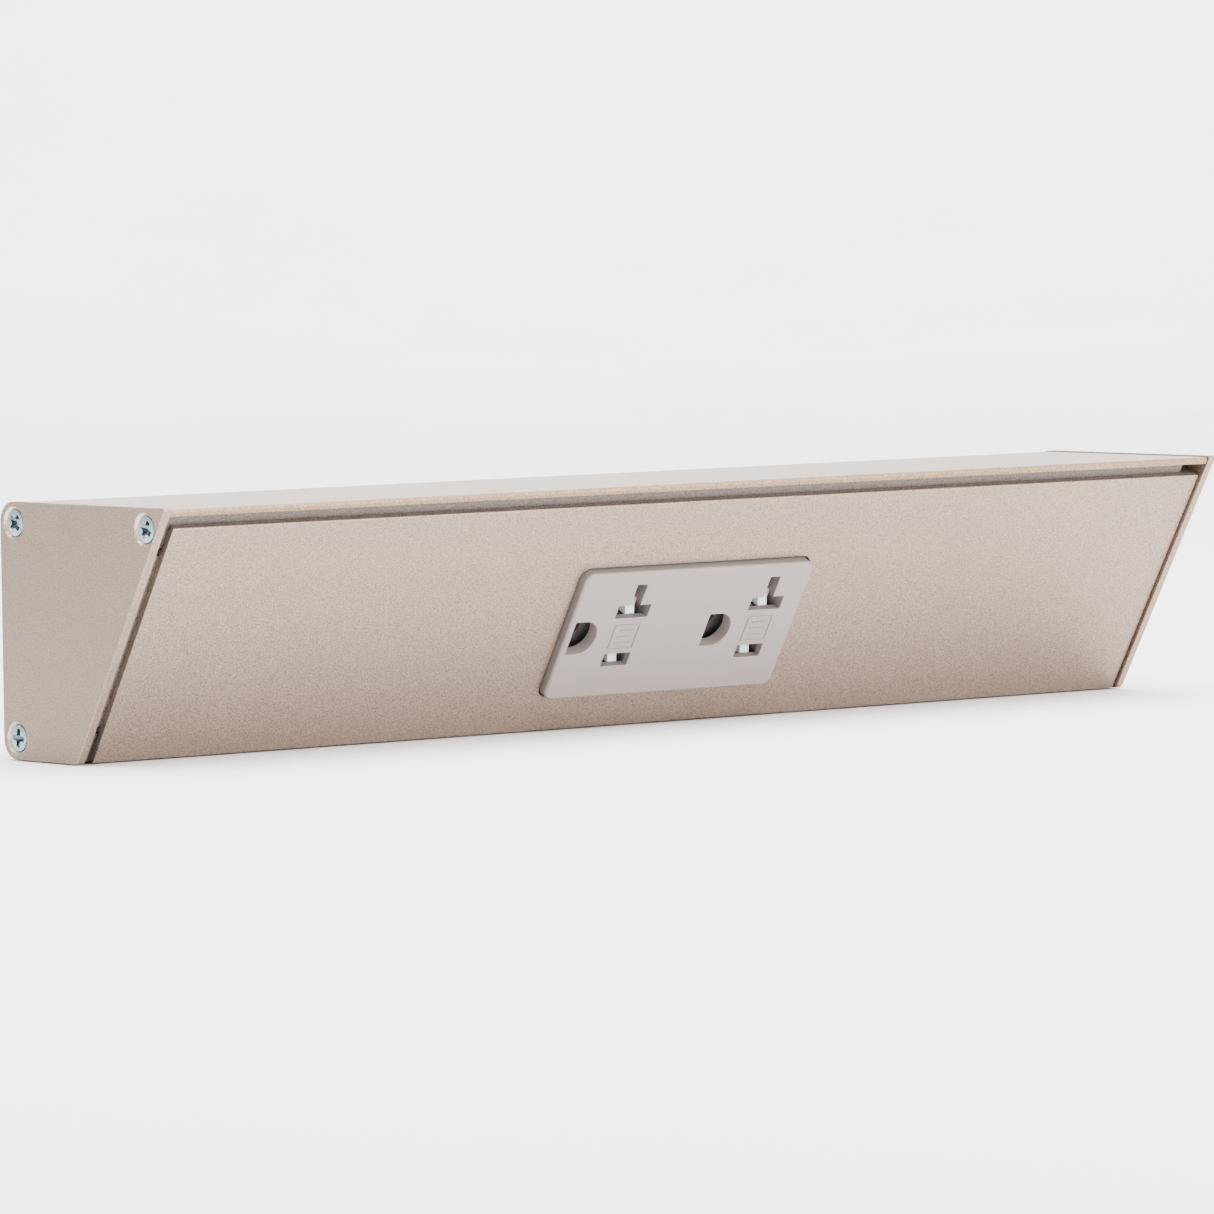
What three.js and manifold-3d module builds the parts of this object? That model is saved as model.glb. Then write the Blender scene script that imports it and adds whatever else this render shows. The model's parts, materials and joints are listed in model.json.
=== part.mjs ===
// Angled hard-wired power strip, 305 mm long, with one duplex receptacle.
//
// Millimetres, +X along the strip, the front faces -Y, +Z is up. The origin is the centre of
// the back face. Everything on the sloping front is built in a turned group: there u runs along
// the strip, v up the slope and w straight out of the slope. w = 0 is the plane through the end
// caps' front edges, and the group's origin is the middle of the receptacle.

import * as THREE from 'three';
import { mergeVertices } from 'three/addons/utils/BufferGeometryUtils.js';
import Module from 'manifold-3d';

const wasm = await Module();
wasm.setup();

// ---------------------------------------------------------------- driving dimensions

const LENGTH = 304.8;
const HEIGHT = 55.7;
const TOP_DEPTH = 59.8;
const BOTTOM_DEPTH = 26.8;

const CAP = { thick: 2.0, backR: 4.5, frontTopR: 0.5, frontBottomR: 2.0 };
const CHANNEL = { wall: 1.6, topInset: 0.3, endGap: 0.1, backR: 4.2, lipR: 0.7, lipBack: 0.3 };
const SEAT = { front: 2.6, thick: 1.2, topEnd: 11.8, bottomStart: 58.8 };
const CAP_RIB = { width: 4.0, clear: 1.9 };
const SEAT_RELIEF = { length: 4.8, from: 3.0, to: 6.4, depth: 6.9 };
const PORT = { outerR: 3.1, frontR: 2.9, boreR: 1.25, mouth: 1.4, web: 1.6 };
const CAP_SCREWS = [[-5.0, 23.2], [-52.3, 23.2], [-5.0, -23.2]];
const SCREW_TURNS = [0.75, 0.55, 0.1];
const CROSS = { long: 3.6, wide: 0.85, depth: 1.2 };
const CAP_SCREW = { headR: 2.85, sinkR: 3.6, holeR: 1.5, shankR: 1.05, length: 12, sunk: 0.35 };

const PANEL = {
  thick: 1.5,
  back: 0.8,
  topEdge: 5.8,
  bottomEdge: 65.3,
  edgeR: 0.4,
  leftGap: 2.85,
  rightGap: 0.3,
};
const HOOK = { thick: 1.2, clear: 0.4, reach: 1.2 };
const CUTOUT_GAP = 0.4;

const ENTRY = { x: -105, z: -2, r: 11.1 };
const WALL_HOLES = { x: 128, r: 2.4 };
const CHASSIS_SCREW = { x: -45, z: -8, holeR: 2.0, shankR: 1.7, headR: 4.0, head: 3.0 };

const FACE_X = 4.4;
const FACE_S = 39.15;
const FACE = { width: 66.2, height: 33.0, r: 2.2, proud: 1.2, thick: 1.7, wall: 1.6, back: -6.9 };
const OUTLET_PITCH = 38.9;
const BLADE_U = 3.25;
const BLADE_V = -0.3;
const BLADE_SPACING = 12.7;
const GROUND_OFFSET = -11.9;
const SLOT = { hotWidth: 7.6, bar: 9.3, height: 3.3, stemWidth: 2.85, stemHeight: 5.4 };
const STEM_COLLAR = { thick: 0.8, back: -2.6, clear: 0.2 };
const GROUND_HOLE = { flat: -3.5, width: 7.2, height: 8.4, depth: 2.9, collar: 0.9 };

const STRAP = {
  front: -7.2,
  thick: 1.3,
  length: 106.4,
  half: 14.0,
  earHalf: 8.0,
  shoulder: 41,
  screws: 83.3,
  windowHalf: 5.5,
  windowEdge: 2.6,
  groundR: 3.6,
};
const STANDOFF = { r: 3.2, boreR: 1.75, gap: 0.2, blind: 0.6 };
const STRAP_SCREW = { headR: 3.3, head: 2.0, shankR: 1.5 };
const HOUSING = { halfU: 33.8, halfV: 19, front: -8.8, back: -27, wall: 1.8, chamfer: 3 };
const POST = { u: 29.4, v: 12.7, r: 2.3, bore: 1.15, clearR: 1.5 };
const RETAINER = {
  front: -4.5,
  thick: 1.2,
  halfU: 31.1,
  halfV: 14.5,
  notchU: 5.3,
  notchV: 4.7,
  groundR: 3.3,
};
const SHUTTER = { halfU: 4.3, height: 4.3, top: -3.3, bottom: -4.2 };
const RIDGE = { shift: 1.0, half: 1.3, crest: -0.7, toe: -2.2, landing: 0.5, rest: 0.7 };
const SPRING = { r: 0.85, wire: 0.12, turns: 4, w: -3.4, clear: 0.1 };
const GUIDE = { near: 4.7, thick: 0.8, back: -4.3, seatV: -1.7 };
const CONTACT = { top: -9.2, floor: -20, sheet: 0.8, gap: 0.95, leaf: 0.6, half: 3.3 };
const GROUND_CONTACT = { half: 2.4, near: 2.45, far: 3.05, strip: 1.6, beyond: 3 };
const BARRIERS = [[-4.5, -3.8], [3.3, 4.0]];
const TERMINAL = {
  u: 12,
  w: -16,
  plate: 16.5,
  halfU: 17,
  headR: 3.5,
  head: 2.2,
  shankR: 1.6,
  holeR: 2.3,
};
const GROUND_SCREW = { place: [-38, 9.4], holeR: 1.9, headR: 3.3, head: 2.6, shankR: 1.7 };
const BUSHING = { bore: 7.6, overlap: 2.4, flange: 2.4, gap: 0.3 };
const LEAD_R = 1.4;
const CONNECTOR = { x: -72, length: 22, mouthR: 6.5, tipR: 3.6, boreR: 3.9, bore: 12, lead: 8 };
const CONNECTORS = { hot: [-17, -15], ground: [-22, 2], neutral: [-36, 14.5] };

// ---------------------------------------------------------------- derived frame of the slope

const halfLength = LENGTH / 2;
const halfHeight = HEIGHT / 2;
const tilt = Math.atan2(TOP_DEPTH - BOTTOM_DEPTH, HEIGHT);
const capInner = halfLength - CAP.thick;
const channelTop = halfHeight - CHANNEL.topInset;
const channelInner = channelTop - CHANNEL.wall;

// A point of the section, s down the slope from the front top corner and d behind the slope.
function onSlope(s, d) {
  const y = -TOP_DEPTH + s * Math.sin(tilt) + d * Math.cos(tilt);
  const z = halfHeight - s * Math.cos(tilt) + d * Math.sin(tilt);
  return [y, z];
}

// Where the plane d behind the slope meets the level z.
function slopeAtLevel(d, z) {
  return onSlope((halfHeight - z + d * Math.sin(tilt)) / Math.cos(tilt), d);
}

const outletNames = ['left', 'right'];
const outletUs = [BLADE_U - OUTLET_PITCH / 2, BLADE_U + OUTLET_PITCH / 2];
const neutralV = BLADE_V + BLADE_SPACING / 2;
const hotV = BLADE_V - BLADE_SPACING / 2;
const faceInner = FACE.proud - FACE.thick;
const strapBack = STRAP.front - STRAP.thick;
const strapScrewUs = [-STRAP.screws / 2, STRAP.screws / 2];
const terminalUs = [-TERMINAL.u, TERMINAL.u];
const postPlaces = [-POST.u, POST.u].flatMap((u) => [-POST.v, POST.v].map((v) => [u, v]));
const shutterPlaces = outletUs.flatMap((u, i) => [
  { name: `neutral_${outletNames[i]}`, u, v: neutralV, seat: GUIDE.seatV },
  { name: `hot_${outletNames[i]}`, u, v: hotV, seat: -FACE.height / 2 + FACE.wall },
]);

const front = new THREE.Group();
const [faceY, faceZ] = onSlope(FACE_S, 0);
front.position.set(FACE_X, faceY, faceZ);
front.rotation.x = Math.PI / 2 + tilt;
front.updateMatrixWorld(true);

function frontToStrip(u, v, w) {
  return new THREE.Vector3(u, v, w).applyMatrix4(front.matrixWorld);
}

// ---------------------------------------------------------------- solids

const ARC_STEPS = 4;
const ROUND = 24;
const FINE_ROUND = 14;
const OVERCUT = 1;

// Geometry as a solid. Triangles that a lathe flattens on its axis are dropped, and a sweep that
// comes out inside out is turned the right way.
function toSolid(geometry) {
  const bare = geometry.clone();
  bare.deleteAttribute('normal');
  bare.deleteAttribute('uv');
  const merged = mergeVertices(bare, 1e-4);
  const corners = merged.attributes.position.array;
  const at = (i) => new THREE.Vector3().fromArray(corners, 3 * i);
  const triangles = [];
  let volume = 0;
  for (let i = 0; i < merged.index.count; i += 3) {
    const [a, b, c] = merged.index.array.slice(i, i + 3);
    if (a !== b && b !== c && c !== a) {
      triangles.push([a, b, c]);
      volume += at(a).dot(at(b).cross(at(c)));
    }
  }
  const outward = volume > 0 ? triangles : triangles.map(([a, b, c]) => [a, c, b]);
  const mesh = new wasm.Mesh({
    numProp: 3,
    vertProperties: new Float32Array(corners),
    triVerts: new Uint32Array(outward.flat()),
  });
  return new wasm.Manifold(mesh);
}

function toGeometry(solid) {
  const mesh = solid.getMesh();
  const geometry = new THREE.BufferGeometry();
  geometry.setAttribute('position', new THREE.BufferAttribute(mesh.vertProperties, 3));
  geometry.setIndex(new THREE.BufferAttribute(mesh.triVerts, 1));
  geometry.computeVertexNormals();
  return geometry;
}

const join = (...solids) => solids.reduce((whole, piece) => whole.add(piece));
const cut = (solid, ...cutters) => cutters.reduce((whole, piece) => whole.subtract(piece), solid);

// Corners are [x, y] or [x, y, radius], in order round the outline.
function outline(corners) {
  const points = [];
  corners.forEach(([x, y, radius = 0], i) => {
    const here = new THREE.Vector2(x, y);
    if (!radius) {
      points.push(here);
      return;
    }
    const before = new THREE.Vector2(...corners.at(i - 1)).sub(here).normalize();
    const after = new THREE.Vector2(...corners[(i + 1) % corners.length]).sub(here).normalize();
    const half = Math.acos(before.dot(after)) / 2;
    const middle = before.clone().add(after).normalize();
    const centre = here.clone().addScaledVector(middle, radius / Math.sin(half));
    const start = here.clone().addScaledVector(before, radius / Math.tan(half)).sub(centre).angle();
    const sweep = (Math.PI - 2 * half) * (before.cross(after) > 0 ? -1 : 1);
    const steps = Math.max(2, Math.ceil((Math.abs(sweep) / (Math.PI / 2)) * ARC_STEPS));
    for (let k = 0; k <= steps; k += 1) {
      const angle = start + (sweep * k) / steps;
      points.push(new THREE.Vector2(Math.cos(angle), Math.sin(angle)).multiplyScalar(radius).add(centre));
    }
  });
  return points;
}

function prism(points, from, to) {
  const options = { depth: to - from, bevelEnabled: false };
  return new THREE.ExtrudeGeometry(new THREE.Shape(points), options).translate(0, 0, from);
}

// A section drawn in the second and third coordinates and drawn out along the first.
function sectionPrism(points, from, to) {
  const turn = new THREE.Matrix4().makeBasis(
    new THREE.Vector3(0, 1, 0),
    new THREE.Vector3(0, 0, 1),
    new THREE.Vector3(1, 0, 0),
  );
  return prism(points, from, to).applyMatrix4(turn);
}

function rectangle(x0, y0, x1, y1, radius = 0) {
  return outline([[x0, y0, radius], [x1, y0, radius], [x1, y1, radius], [x0, y1, radius]]);
}

function block(low, high) {
  const size = high.map((value, i) => value - low[i]);
  const middle = high.map((value, i) => (value + low[i]) / 2);
  return toSolid(new THREE.BoxGeometry(...size).translate(...middle));
}

const AXIS_TURN = { x: [0, 0, -Math.PI / 2], y: [0, 0, 0], z: [Math.PI / 2, 0, 0] };

// A turned solid: the profile is [radius, height] pairs, its height runs along the named axis.
function turned(profile, axis, place, segments = FINE_ROUND) {
  const geometry = new THREE.LatheGeometry(profile.map(([r, h]) => new THREE.Vector2(r, h)), segments);
  const turn = new THREE.Matrix4().makeRotationFromEuler(new THREE.Euler(...AXIS_TURN[axis]));
  geometry.applyMatrix4(turn);
  return toSolid(geometry.translate(...place));
}

function rod(radius, from, to, axis, place, segments = FINE_ROUND) {
  return turned([[0, from], [radius, from], [radius, to], [0, to]], axis, place, segments);
}

function swept(curve, radius, sides, steps) {
  const section = Array.from({ length: sides }, (_, i) => {
    const angle = (2 * Math.PI * i) / sides;
    return new THREE.Vector2(radius * Math.cos(angle), radius * Math.sin(angle));
  });
  return toSolid(new THREE.ExtrudeGeometry(new THREE.Shape(section), { steps, extrudePath: curve }));
}

// ---------------------------------------------------------------- scene graph

const strip = new THREE.Group();
strip.add(front);

function add(parent, name, solid, colour, roughness, metalness) {
  const material = new THREE.MeshStandardMaterial({ color: colour, roughness, metalness });
  const mesh = new THREE.Mesh(toGeometry(solid), material);
  mesh.name = name;
  parent.add(mesh);
}

const NICKEL = [0xb9aea4, 0.45, 0.7];
const STEEL = [0xc9d2d8, 0.3, 0.9];
const GREY_PLASTIC = [0xc6bebb, 0.5, 0.0];
const DARK_PLASTIC = [0x3a3b3e, 0.6, 0.0];
const WHITE_PLASTIC = [0xf0efec, 0.5, 0.0];
const BRASS = [0xc9a24e, 0.35, 0.9];
const GREEN = [0x2f7d4b, 0.5, 0.2];
const BLACK_INSULATION = [0x1c1c1d, 0.55, 0.0];
const WHITE_INSULATION = [0xe9e7e2, 0.55, 0.0];
const GREEN_INSULATION = [0x23814a, 0.55, 0.0];
const RED_CONNECTOR = [0xc8412f, 0.5, 0.0];
const YELLOW_CONNECTOR = [0xd7b13a, 0.5, 0.0];
const GREEN_CONNECTOR = [0x2f8a4a, 0.5, 0.0];

// ---------------------------------------------------------------- channel

function channelOutline() {
  const seatBack = SEAT.front + SEAT.thick;
  return outline([
    [...slopeAtLevel(CHANNEL.lipBack, channelTop), CHANNEL.lipR],
    slopeAtLevel(CHANNEL.lipBack, channelInner),
    slopeAtLevel(SEAT.front, channelInner),
    onSlope(SEAT.topEnd, SEAT.front),
    onSlope(SEAT.topEnd, seatBack),
    slopeAtLevel(seatBack, channelInner),
    [-CHANNEL.wall, channelInner, CHANNEL.backR - CHANNEL.wall],
    [-CHANNEL.wall, -channelInner, CHANNEL.backR - CHANNEL.wall],
    slopeAtLevel(seatBack, -channelInner),
    onSlope(SEAT.bottomStart, seatBack),
    onSlope(SEAT.bottomStart, SEAT.front),
    slopeAtLevel(SEAT.front, -channelTop),
    [0, -channelTop, CHANNEL.backR],
    [0, channelTop, CHANNEL.backR],
  ]);
}

// The screw ports run the whole length and are open along one side, as extruded ports are.
function screwPorts(from, to) {
  return CAP_SCREWS.map(([y, z]) => {
    const atBack = y > -TOP_DEPTH / 2;
    const tube = rod(atBack ? PORT.outerR : PORT.frontR, from, to, 'x', [0, y, z]);
    if (!atBack) {
      return tube;
    }
    return join(tube, block([from, y, z - PORT.web / 2], [to, -CHANNEL.wall / 2, z + PORT.web / 2]));
  });
}

function portCutters(from, to) {
  return CAP_SCREWS.flatMap(([y, z]) => {
    const bore = rod(PORT.boreR, from, to, 'x', [0, y, z], 16);
    if (y < -TOP_DEPTH / 2) {
      return [bore];
    }
    const mouth = block([from, y - PORT.outerR * 2, z - PORT.mouth / 2], [to, y, z + PORT.mouth / 2]);
    return [bore, mouth];
  });
}

function frontOfSeat(from, to) {
  const within = SEAT.front + SEAT.thick / 4;
  const points = [onSlope(3, -1), onSlope(3, within), onSlope(12, within), onSlope(12, -1)];
  return toSolid(sectionPrism(points.map(([y, z]) => new THREE.Vector2(y, z)), from, to));
}

function seatRelief(to) {
  const { length, from, to: end, depth } = SEAT_RELIEF;
  const points = [onSlope(from, 1), onSlope(from, depth), onSlope(end, depth), onSlope(end, 1)];
  const cutter = sectionPrism(points.map(([y, z]) => new THREE.Vector2(y, z)), to - length, to + OVERCUT);
  return cut(toSolid(cutter), block([0, -TOP_DEPTH, channelInner - 0.15], [to + 9, 0, halfHeight]));
}

function bodyChannel() {
  const end = capInner - CHANNEL.endGap;
  const shell = toSolid(sectionPrism(channelOutline(), -end, end));
  const ports = screwPorts(-end, end).map((port) => port.subtract(frontOfSeat(-halfLength, halfLength)));
  const holes = [-WALL_HOLES.x, WALL_HOLES.x].map((x) => rod(WALL_HOLES.r, -5, 5, 'y', [x, 0, 0]));
  return cut(
    join(shell, ...ports),
    ...portCutters(-halfLength, halfLength),
    ...holes,
    seatRelief(end),
    rod(ENTRY.r, -5, 5, 'y', [ENTRY.x, 0, ENTRY.z], ROUND),
    rod(CHASSIS_SCREW.holeR, -5, 5, 'y', [CHASSIS_SCREW.x, 0, CHASSIS_SCREW.z]),
  );
}

add(strip, 'body_channel', bodyChannel(), ...NICKEL);

// ---------------------------------------------------------------- end caps and their screws

// Profiles that start deep in the strip and end at its outer face, for either end.
function towardsEnd(side, pairs) {
  const along = pairs.map(([r, depth]) => [r, -side * depth]);
  return side > 0 ? along : along.reverse();
}

// The left cap closes the gap beside the panel with a rib that reaches behind the panel's end,
// between its hooks.
function capRib(inner) {
  const top = SEAT.topEnd + CAP_RIB.clear;
  const bottom = SEAT.bottomStart - CAP_RIB.clear;
  const back = SEAT.front + SEAT.thick;
  const corners = [[top, SEAT.front], [top, back], [bottom, back], [bottom, SEAT.front]];
  const points = corners.map(([s, d]) => new THREE.Vector2(...onSlope(s, d)));
  return toSolid(sectionPrism(points, inner - CAP.thick / 4, inner + CAP_RIB.width));
}

function endCap(side) {
  const points = outline([
    [0, halfHeight, CAP.backR],
    [-TOP_DEPTH, halfHeight, CAP.frontTopR],
    [-BOTTOM_DEPTH, -halfHeight, CAP.frontBottomR],
    [0, -halfHeight, CAP.backR],
  ]);
  const [from, to] = side > 0 ? [capInner, halfLength] : [-halfLength, -capInner];
  const { holeR, sinkR } = CAP_SCREW;
  const sunkHole = towardsEnd(side, [
    [0, CAP.thick + OVERCUT],
    [holeR, CAP.thick + OVERCUT],
    [holeR, sinkR - holeR],
    [sinkR, 0],
    [sinkR, -OVERCUT],
    [0, -OVERCUT],
  ]);
  const holes = CAP_SCREWS.map(([y, z]) => turned(sunkHole, 'x', [side * halfLength, y, z], ROUND));
  const plate = toSolid(sectionPrism(points, from, to));
  return cut(side > 0 ? plate : join(plate, capRib(to)), ...holes);
}

function capScrew(side, [y, z], turn) {
  const { headR, shankR, sunk, length } = CAP_SCREW;
  const profile = towardsEnd(side, [
    [0, length],
    [shankR * 0.6, length],
    [shankR, length - shankR],
    [shankR, sunk + headR - shankR],
    [headR, sunk + 0.15],
    [headR, sunk],
    [0, sunk],
  ]);
  const top = side * halfLength;
  const arms = [0, Math.PI / 2].map((quarter) => {
    const arm = new THREE.BoxGeometry(2 * CROSS.depth, CROSS.long, CROSS.wide);
    return toSolid(arm.rotateX(turn + quarter).translate(top - side * sunk, y, z));
  });
  return cut(turned(profile, 'x', [top, y, z], ROUND), ...arms);
}

add(strip, 'end_cap_left', endCap(-1), ...NICKEL);
add(strip, 'end_cap_right', endCap(1), ...NICKEL);
CAP_SCREWS.forEach((place, i) => {
  add(strip, `end_cap_screw_left_${i + 1}`, capScrew(-1, place, SCREW_TURNS[i]), ...STEEL);
  add(strip, `end_cap_screw_right_${i + 1}`, capScrew(1, place, SCREW_TURNS[i]), ...STEEL);
});

// ---------------------------------------------------------------- sloping front panel

// The panel slides in from one end: its two hooks run behind the channel's seats.
function panelOutline() {
  const v = (s) => FACE_S - s;
  const outer = -PANEL.back;
  const inner = outer - PANEL.thick;
  const hookIn = -(SEAT.front + SEAT.thick + HOOK.clear);
  const hookBack = hookIn - HOOK.thick;
  const topStem = SEAT.topEnd + HOOK.clear;
  const lowStem = SEAT.bottomStart - HOOK.clear;
  return outline([
    [v(PANEL.bottomEdge), outer, PANEL.edgeR],
    [v(PANEL.bottomEdge), inner],
    [v(lowStem), inner],
    [v(lowStem), hookIn],
    [v(lowStem + HOOK.reach), hookIn],
    [v(lowStem + HOOK.reach), hookBack],
    [v(lowStem - HOOK.thick), hookBack],
    [v(lowStem - HOOK.thick), inner],
    [v(topStem + HOOK.thick), inner],
    [v(topStem + HOOK.thick), hookBack],
    [v(topStem - HOOK.reach), hookBack],
    [v(topStem - HOOK.reach), hookIn],
    [v(topStem), hookIn],
    [v(topStem), inner],
    [v(PANEL.topEdge), inner],
    [v(PANEL.topEdge), outer, PANEL.edgeR],
  ]);
}

function frontPanel() {
  const from = -capInner + PANEL.leftGap - FACE_X;
  const to = capInner - PANEL.rightGap - FACE_X;
  const u = FACE.width / 2 + CUTOUT_GAP;
  const v = FACE.height / 2 + CUTOUT_GAP;
  const opening = rectangle(-u, -v, u, v, FACE.r + CUTOUT_GAP);
  const behind = -PANEL.back - PANEL.thick - OVERCUT;
  return cut(toSolid(sectionPrism(panelOutline(), from, to)), toSolid(prism(opening, behind, OVERCUT)));
}

add(front, 'front_panel', frontPanel(), ...NICKEL);

// ---------------------------------------------------------------- receptacle: strap and its fixings

function mountingStrap() {
  const { half, earHalf, shoulder, windowHalf, windowEdge, groundR } = STRAP;
  const end = STRAP.length / 2;
  const low = strapBack - OVERCUT;
  const high = STRAP.front + OVERCUT;
  const points = outline([
    [-shoulder, -half, 1.5],
    [shoulder, -half, 1.5],
    [shoulder, -earHalf, 1],
    [end, -earHalf, 3],
    [end, earHalf, 3],
    [shoulder, earHalf, 1],
    [shoulder, half, 1.5],
    [-shoulder, half, 1.5],
    [-shoulder, earHalf, 1],
    [-end, earHalf, 3],
    [-end, -earHalf, 3],
    [-shoulder, -earHalf, 1],
  ]);
  const plate = toSolid(prism(points, strapBack, STRAP.front));
  const windows = outletUs.flatMap((u) => [
    block([u - windowHalf, -11, low], [u + windowHalf, BLADE_V - windowEdge, high]),
    block([u - windowHalf, BLADE_V + windowEdge, low], [u + windowHalf, 12.2, high]),
    rod(groundR, low, high, 'z', [u + GROUND_OFFSET, BLADE_V, 0]),
  ]);
  const slots = strapScrewUs.map((u) => (
    toSolid(prism(rectangle(u - 3.4, -2.2, u + 3.4, 2.2, 2.1), low, high))
  ));
  const posts = postPlaces.map(([u, v]) => rod(POST.clearR, low, high, 'z', [u, v, 0]));
  const groundHole = rod(GROUND_SCREW.holeR, low, high, 'z', [...GROUND_SCREW.place, 0]);
  return cut(plate, ...windows, ...slots, ...posts, groundHole);
}

function panelStandoff(u) {
  const { r, boreR, gap, blind } = STANDOFF;
  const outer = -PANEL.back - PANEL.thick - gap;
  const inner = STRAP.front + gap;
  return cut(
    rod(r, inner, outer, 'z', [u, 0, 0]),
    rod(boreR, inner - OVERCUT, outer - blind, 'z', [u, 0, 0]),
  );
}

function strapScrew(u) {
  const { headR, head, shankR } = STRAP_SCREW;
  const under = strapBack - STANDOFF.gap;
  const tip = -PANEL.back - PANEL.thick - 1.2;
  const profile = [
    [0, under - head],
    [headR - 0.9, under - head],
    [headR, under - head + 0.8],
    [headR, under],
    [shankR, under],
    [shankR, tip],
    [0, tip],
  ];
  return turned(profile, 'z', [u, 0, 0]);
}

// ---------------------------------------------------------------- receptacle: cover and shutters

// The ground hole is a D: straight on the side away from the blades and round towards them.
function groundHoleOutline(u, grow) {
  const { flat, width, height } = GROUND_HOLE;
  const half = height / 2 + grow;
  const left = u + flat - grow;
  const right = u + flat + width + grow;
  const round = half * 0.98;
  return outline([
    [left, BLADE_V - half],
    [right, BLADE_V - half, round],
    [right, BLADE_V + half, round],
    [left, BLADE_V + half],
  ]);
}

function slotOutlines(u) {
  const { hotWidth, bar, height, stemWidth, stemHeight } = SLOT;
  const barTop = neutralV + height / 2;
  return {
    hot: rectangle(u - hotWidth / 2, hotV - height / 2, u + hotWidth / 2, hotV + height / 2),
    neutral: outline([
      [u - bar / 2, neutralV - height / 2],
      [u + bar / 2, neutralV - height / 2],
      [u + bar / 2, barTop],
      [u + stemWidth / 2, barTop],
      [u + stemWidth / 2, barTop + stemHeight],
      [u - stemWidth / 2, barTop + stemHeight],
      [u - stemWidth / 2, barTop],
      [u - bar / 2, barTop],
    ]),
  };
}

function receptacleCover() {
  const halfU = FACE.width / 2;
  const halfV = FACE.height / 2;
  const { r, wall, back, proud } = FACE;
  const sunk = faceInner + 0.2;
  const hollow = rectangle(wall - halfU, wall - halfV, halfU - wall, halfV - wall, r - wall);
  const shell = cut(
    toSolid(prism(rectangle(-halfU, -halfV, halfU, halfV, r), back, proud)),
    toSolid(prism(hollow, back - OVERCUT, faceInner)),
  );
  const collarU = SLOT.stemWidth / 2 + STEM_COLLAR.thick;
  const collarLow = neutralV + SHUTTER.height / 2 + STEM_COLLAR.clear;
  const collarHigh = neutralV + SLOT.height / 2 + SLOT.stemHeight + STEM_COLLAR.thick;
  const inside = [];
  const through = [];
  outletUs.forEach((u) => {
    const groundU = u + GROUND_OFFSET;
    const collarBack = proud - GROUND_HOLE.depth;
    inside.push(toSolid(prism(groundHoleOutline(groundU, GROUND_HOLE.collar), collarBack, sunk)));
    through.push(toSolid(prism(groundHoleOutline(groundU, 0), collarBack - OVERCUT, proud + OVERCUT)));
    Object.values(slotOutlines(u)).forEach((slot) => {
      through.push(toSolid(prism(slot, STEM_COLLAR.back - OVERCUT, proud + OVERCUT)));
    });
    inside.push(block([u - collarU, collarLow, STEM_COLLAR.back], [u + collarU, collarHigh, sunk]));
    [-1, 1].forEach((side) => {
      const edges = [u + side * GUIDE.near, u + side * (GUIDE.near + GUIDE.thick)].sort((a, b) => a - b);
      inside.push(block([edges[0], wall / 2 - halfV, GUIDE.back], [edges[1], halfV - wall / 2, sunk]));
    });
    const reach = GUIDE.near + 0.1;
    const seatLow = GUIDE.seatV - GUIDE.thick;
    inside.push(block([u - reach, seatLow, GUIDE.back], [u + reach, GUIDE.seatV, sunk]));
  });
  postPlaces.forEach(([u, v]) => {
    inside.push(rod(POST.r, back, sunk, 'z', [u, v, 0]));
    through.push(rod(POST.bore, back - OVERCUT, faceInner - 0.8, 'z', [u, v, 0], 12));
  });
  return cut(join(shell, ...inside), ...through);
}

// A shutter is a small slide with a ramp that a blade pushes down the slope.
function shutter({ u, v }) {
  const { halfU, height, top, bottom } = SHUTTER;
  const low = v - height / 2;
  const high = v + height / 2;
  const slide = block([u - halfU, low, bottom], [u + halfU, high, top]);
  const rampEnd = high - RIDGE.rest;
  const ramp = outline([
    [low, top - 0.2],
    [rampEnd, top - 0.2],
    [rampEnd, RIDGE.toe],
    [low + RIDGE.landing, RIDGE.crest],
    [low, RIDGE.crest],
  ]);
  const middle = u + RIDGE.shift;
  return join(slide, toSolid(sectionPrism(ramp, middle - RIDGE.half, middle + RIDGE.half)));
}

// A compression spring between the shutter's lower edge and its seat.
function shutterSpring({ u, v, seat }) {
  const clear = SPRING.wire + SPRING.clear;
  const start = v - SHUTTER.height / 2 - clear;
  const length = start - seat - clear;
  class Helix extends THREE.Curve {
    getPoint(t, target = new THREE.Vector3()) {
      const angle = 2 * Math.PI * SPRING.turns * t;
      const across = SPRING.r * Math.cos(angle);
      const deep = SPRING.r * Math.sin(angle);
      return target.set(u + across, start - length * t, SPRING.w + deep);
    }
  }
  return swept(new Helix(), SPRING.wire, 4, SPRING.turns * 8);
}

function shutterRetainer() {
  const { front: outer, thick, halfU, halfV, notchU, notchV, groundR } = RETAINER;
  const inU = halfU - notchU;
  const inV = halfV - notchV;
  const low = outer - thick - OVERCUT;
  const high = outer + OVERCUT;
  const plus = outline([
    [-inU, -halfV], [inU, -halfV], [inU, -inV], [halfU, -inV], [halfU, inV], [inU, inV],
    [inU, halfV], [-inU, halfV], [-inU, inV], [-halfU, inV], [-halfU, -inV], [-inU, -inV],
  ]);
  const plate = toSolid(prism(plus, outer - thick, outer));
  const openings = outletUs.flatMap((u) => [
    ...Object.values(slotOutlines(u)).map((slot) => toSolid(prism(slot, low, high))),
    rod(groundR, low, high, 'z', [u + GROUND_OFFSET, BLADE_V, 0]),
  ]);
  return cut(plate, ...openings);
}

// ---------------------------------------------------------------- receptacle: housing and contacts

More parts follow.
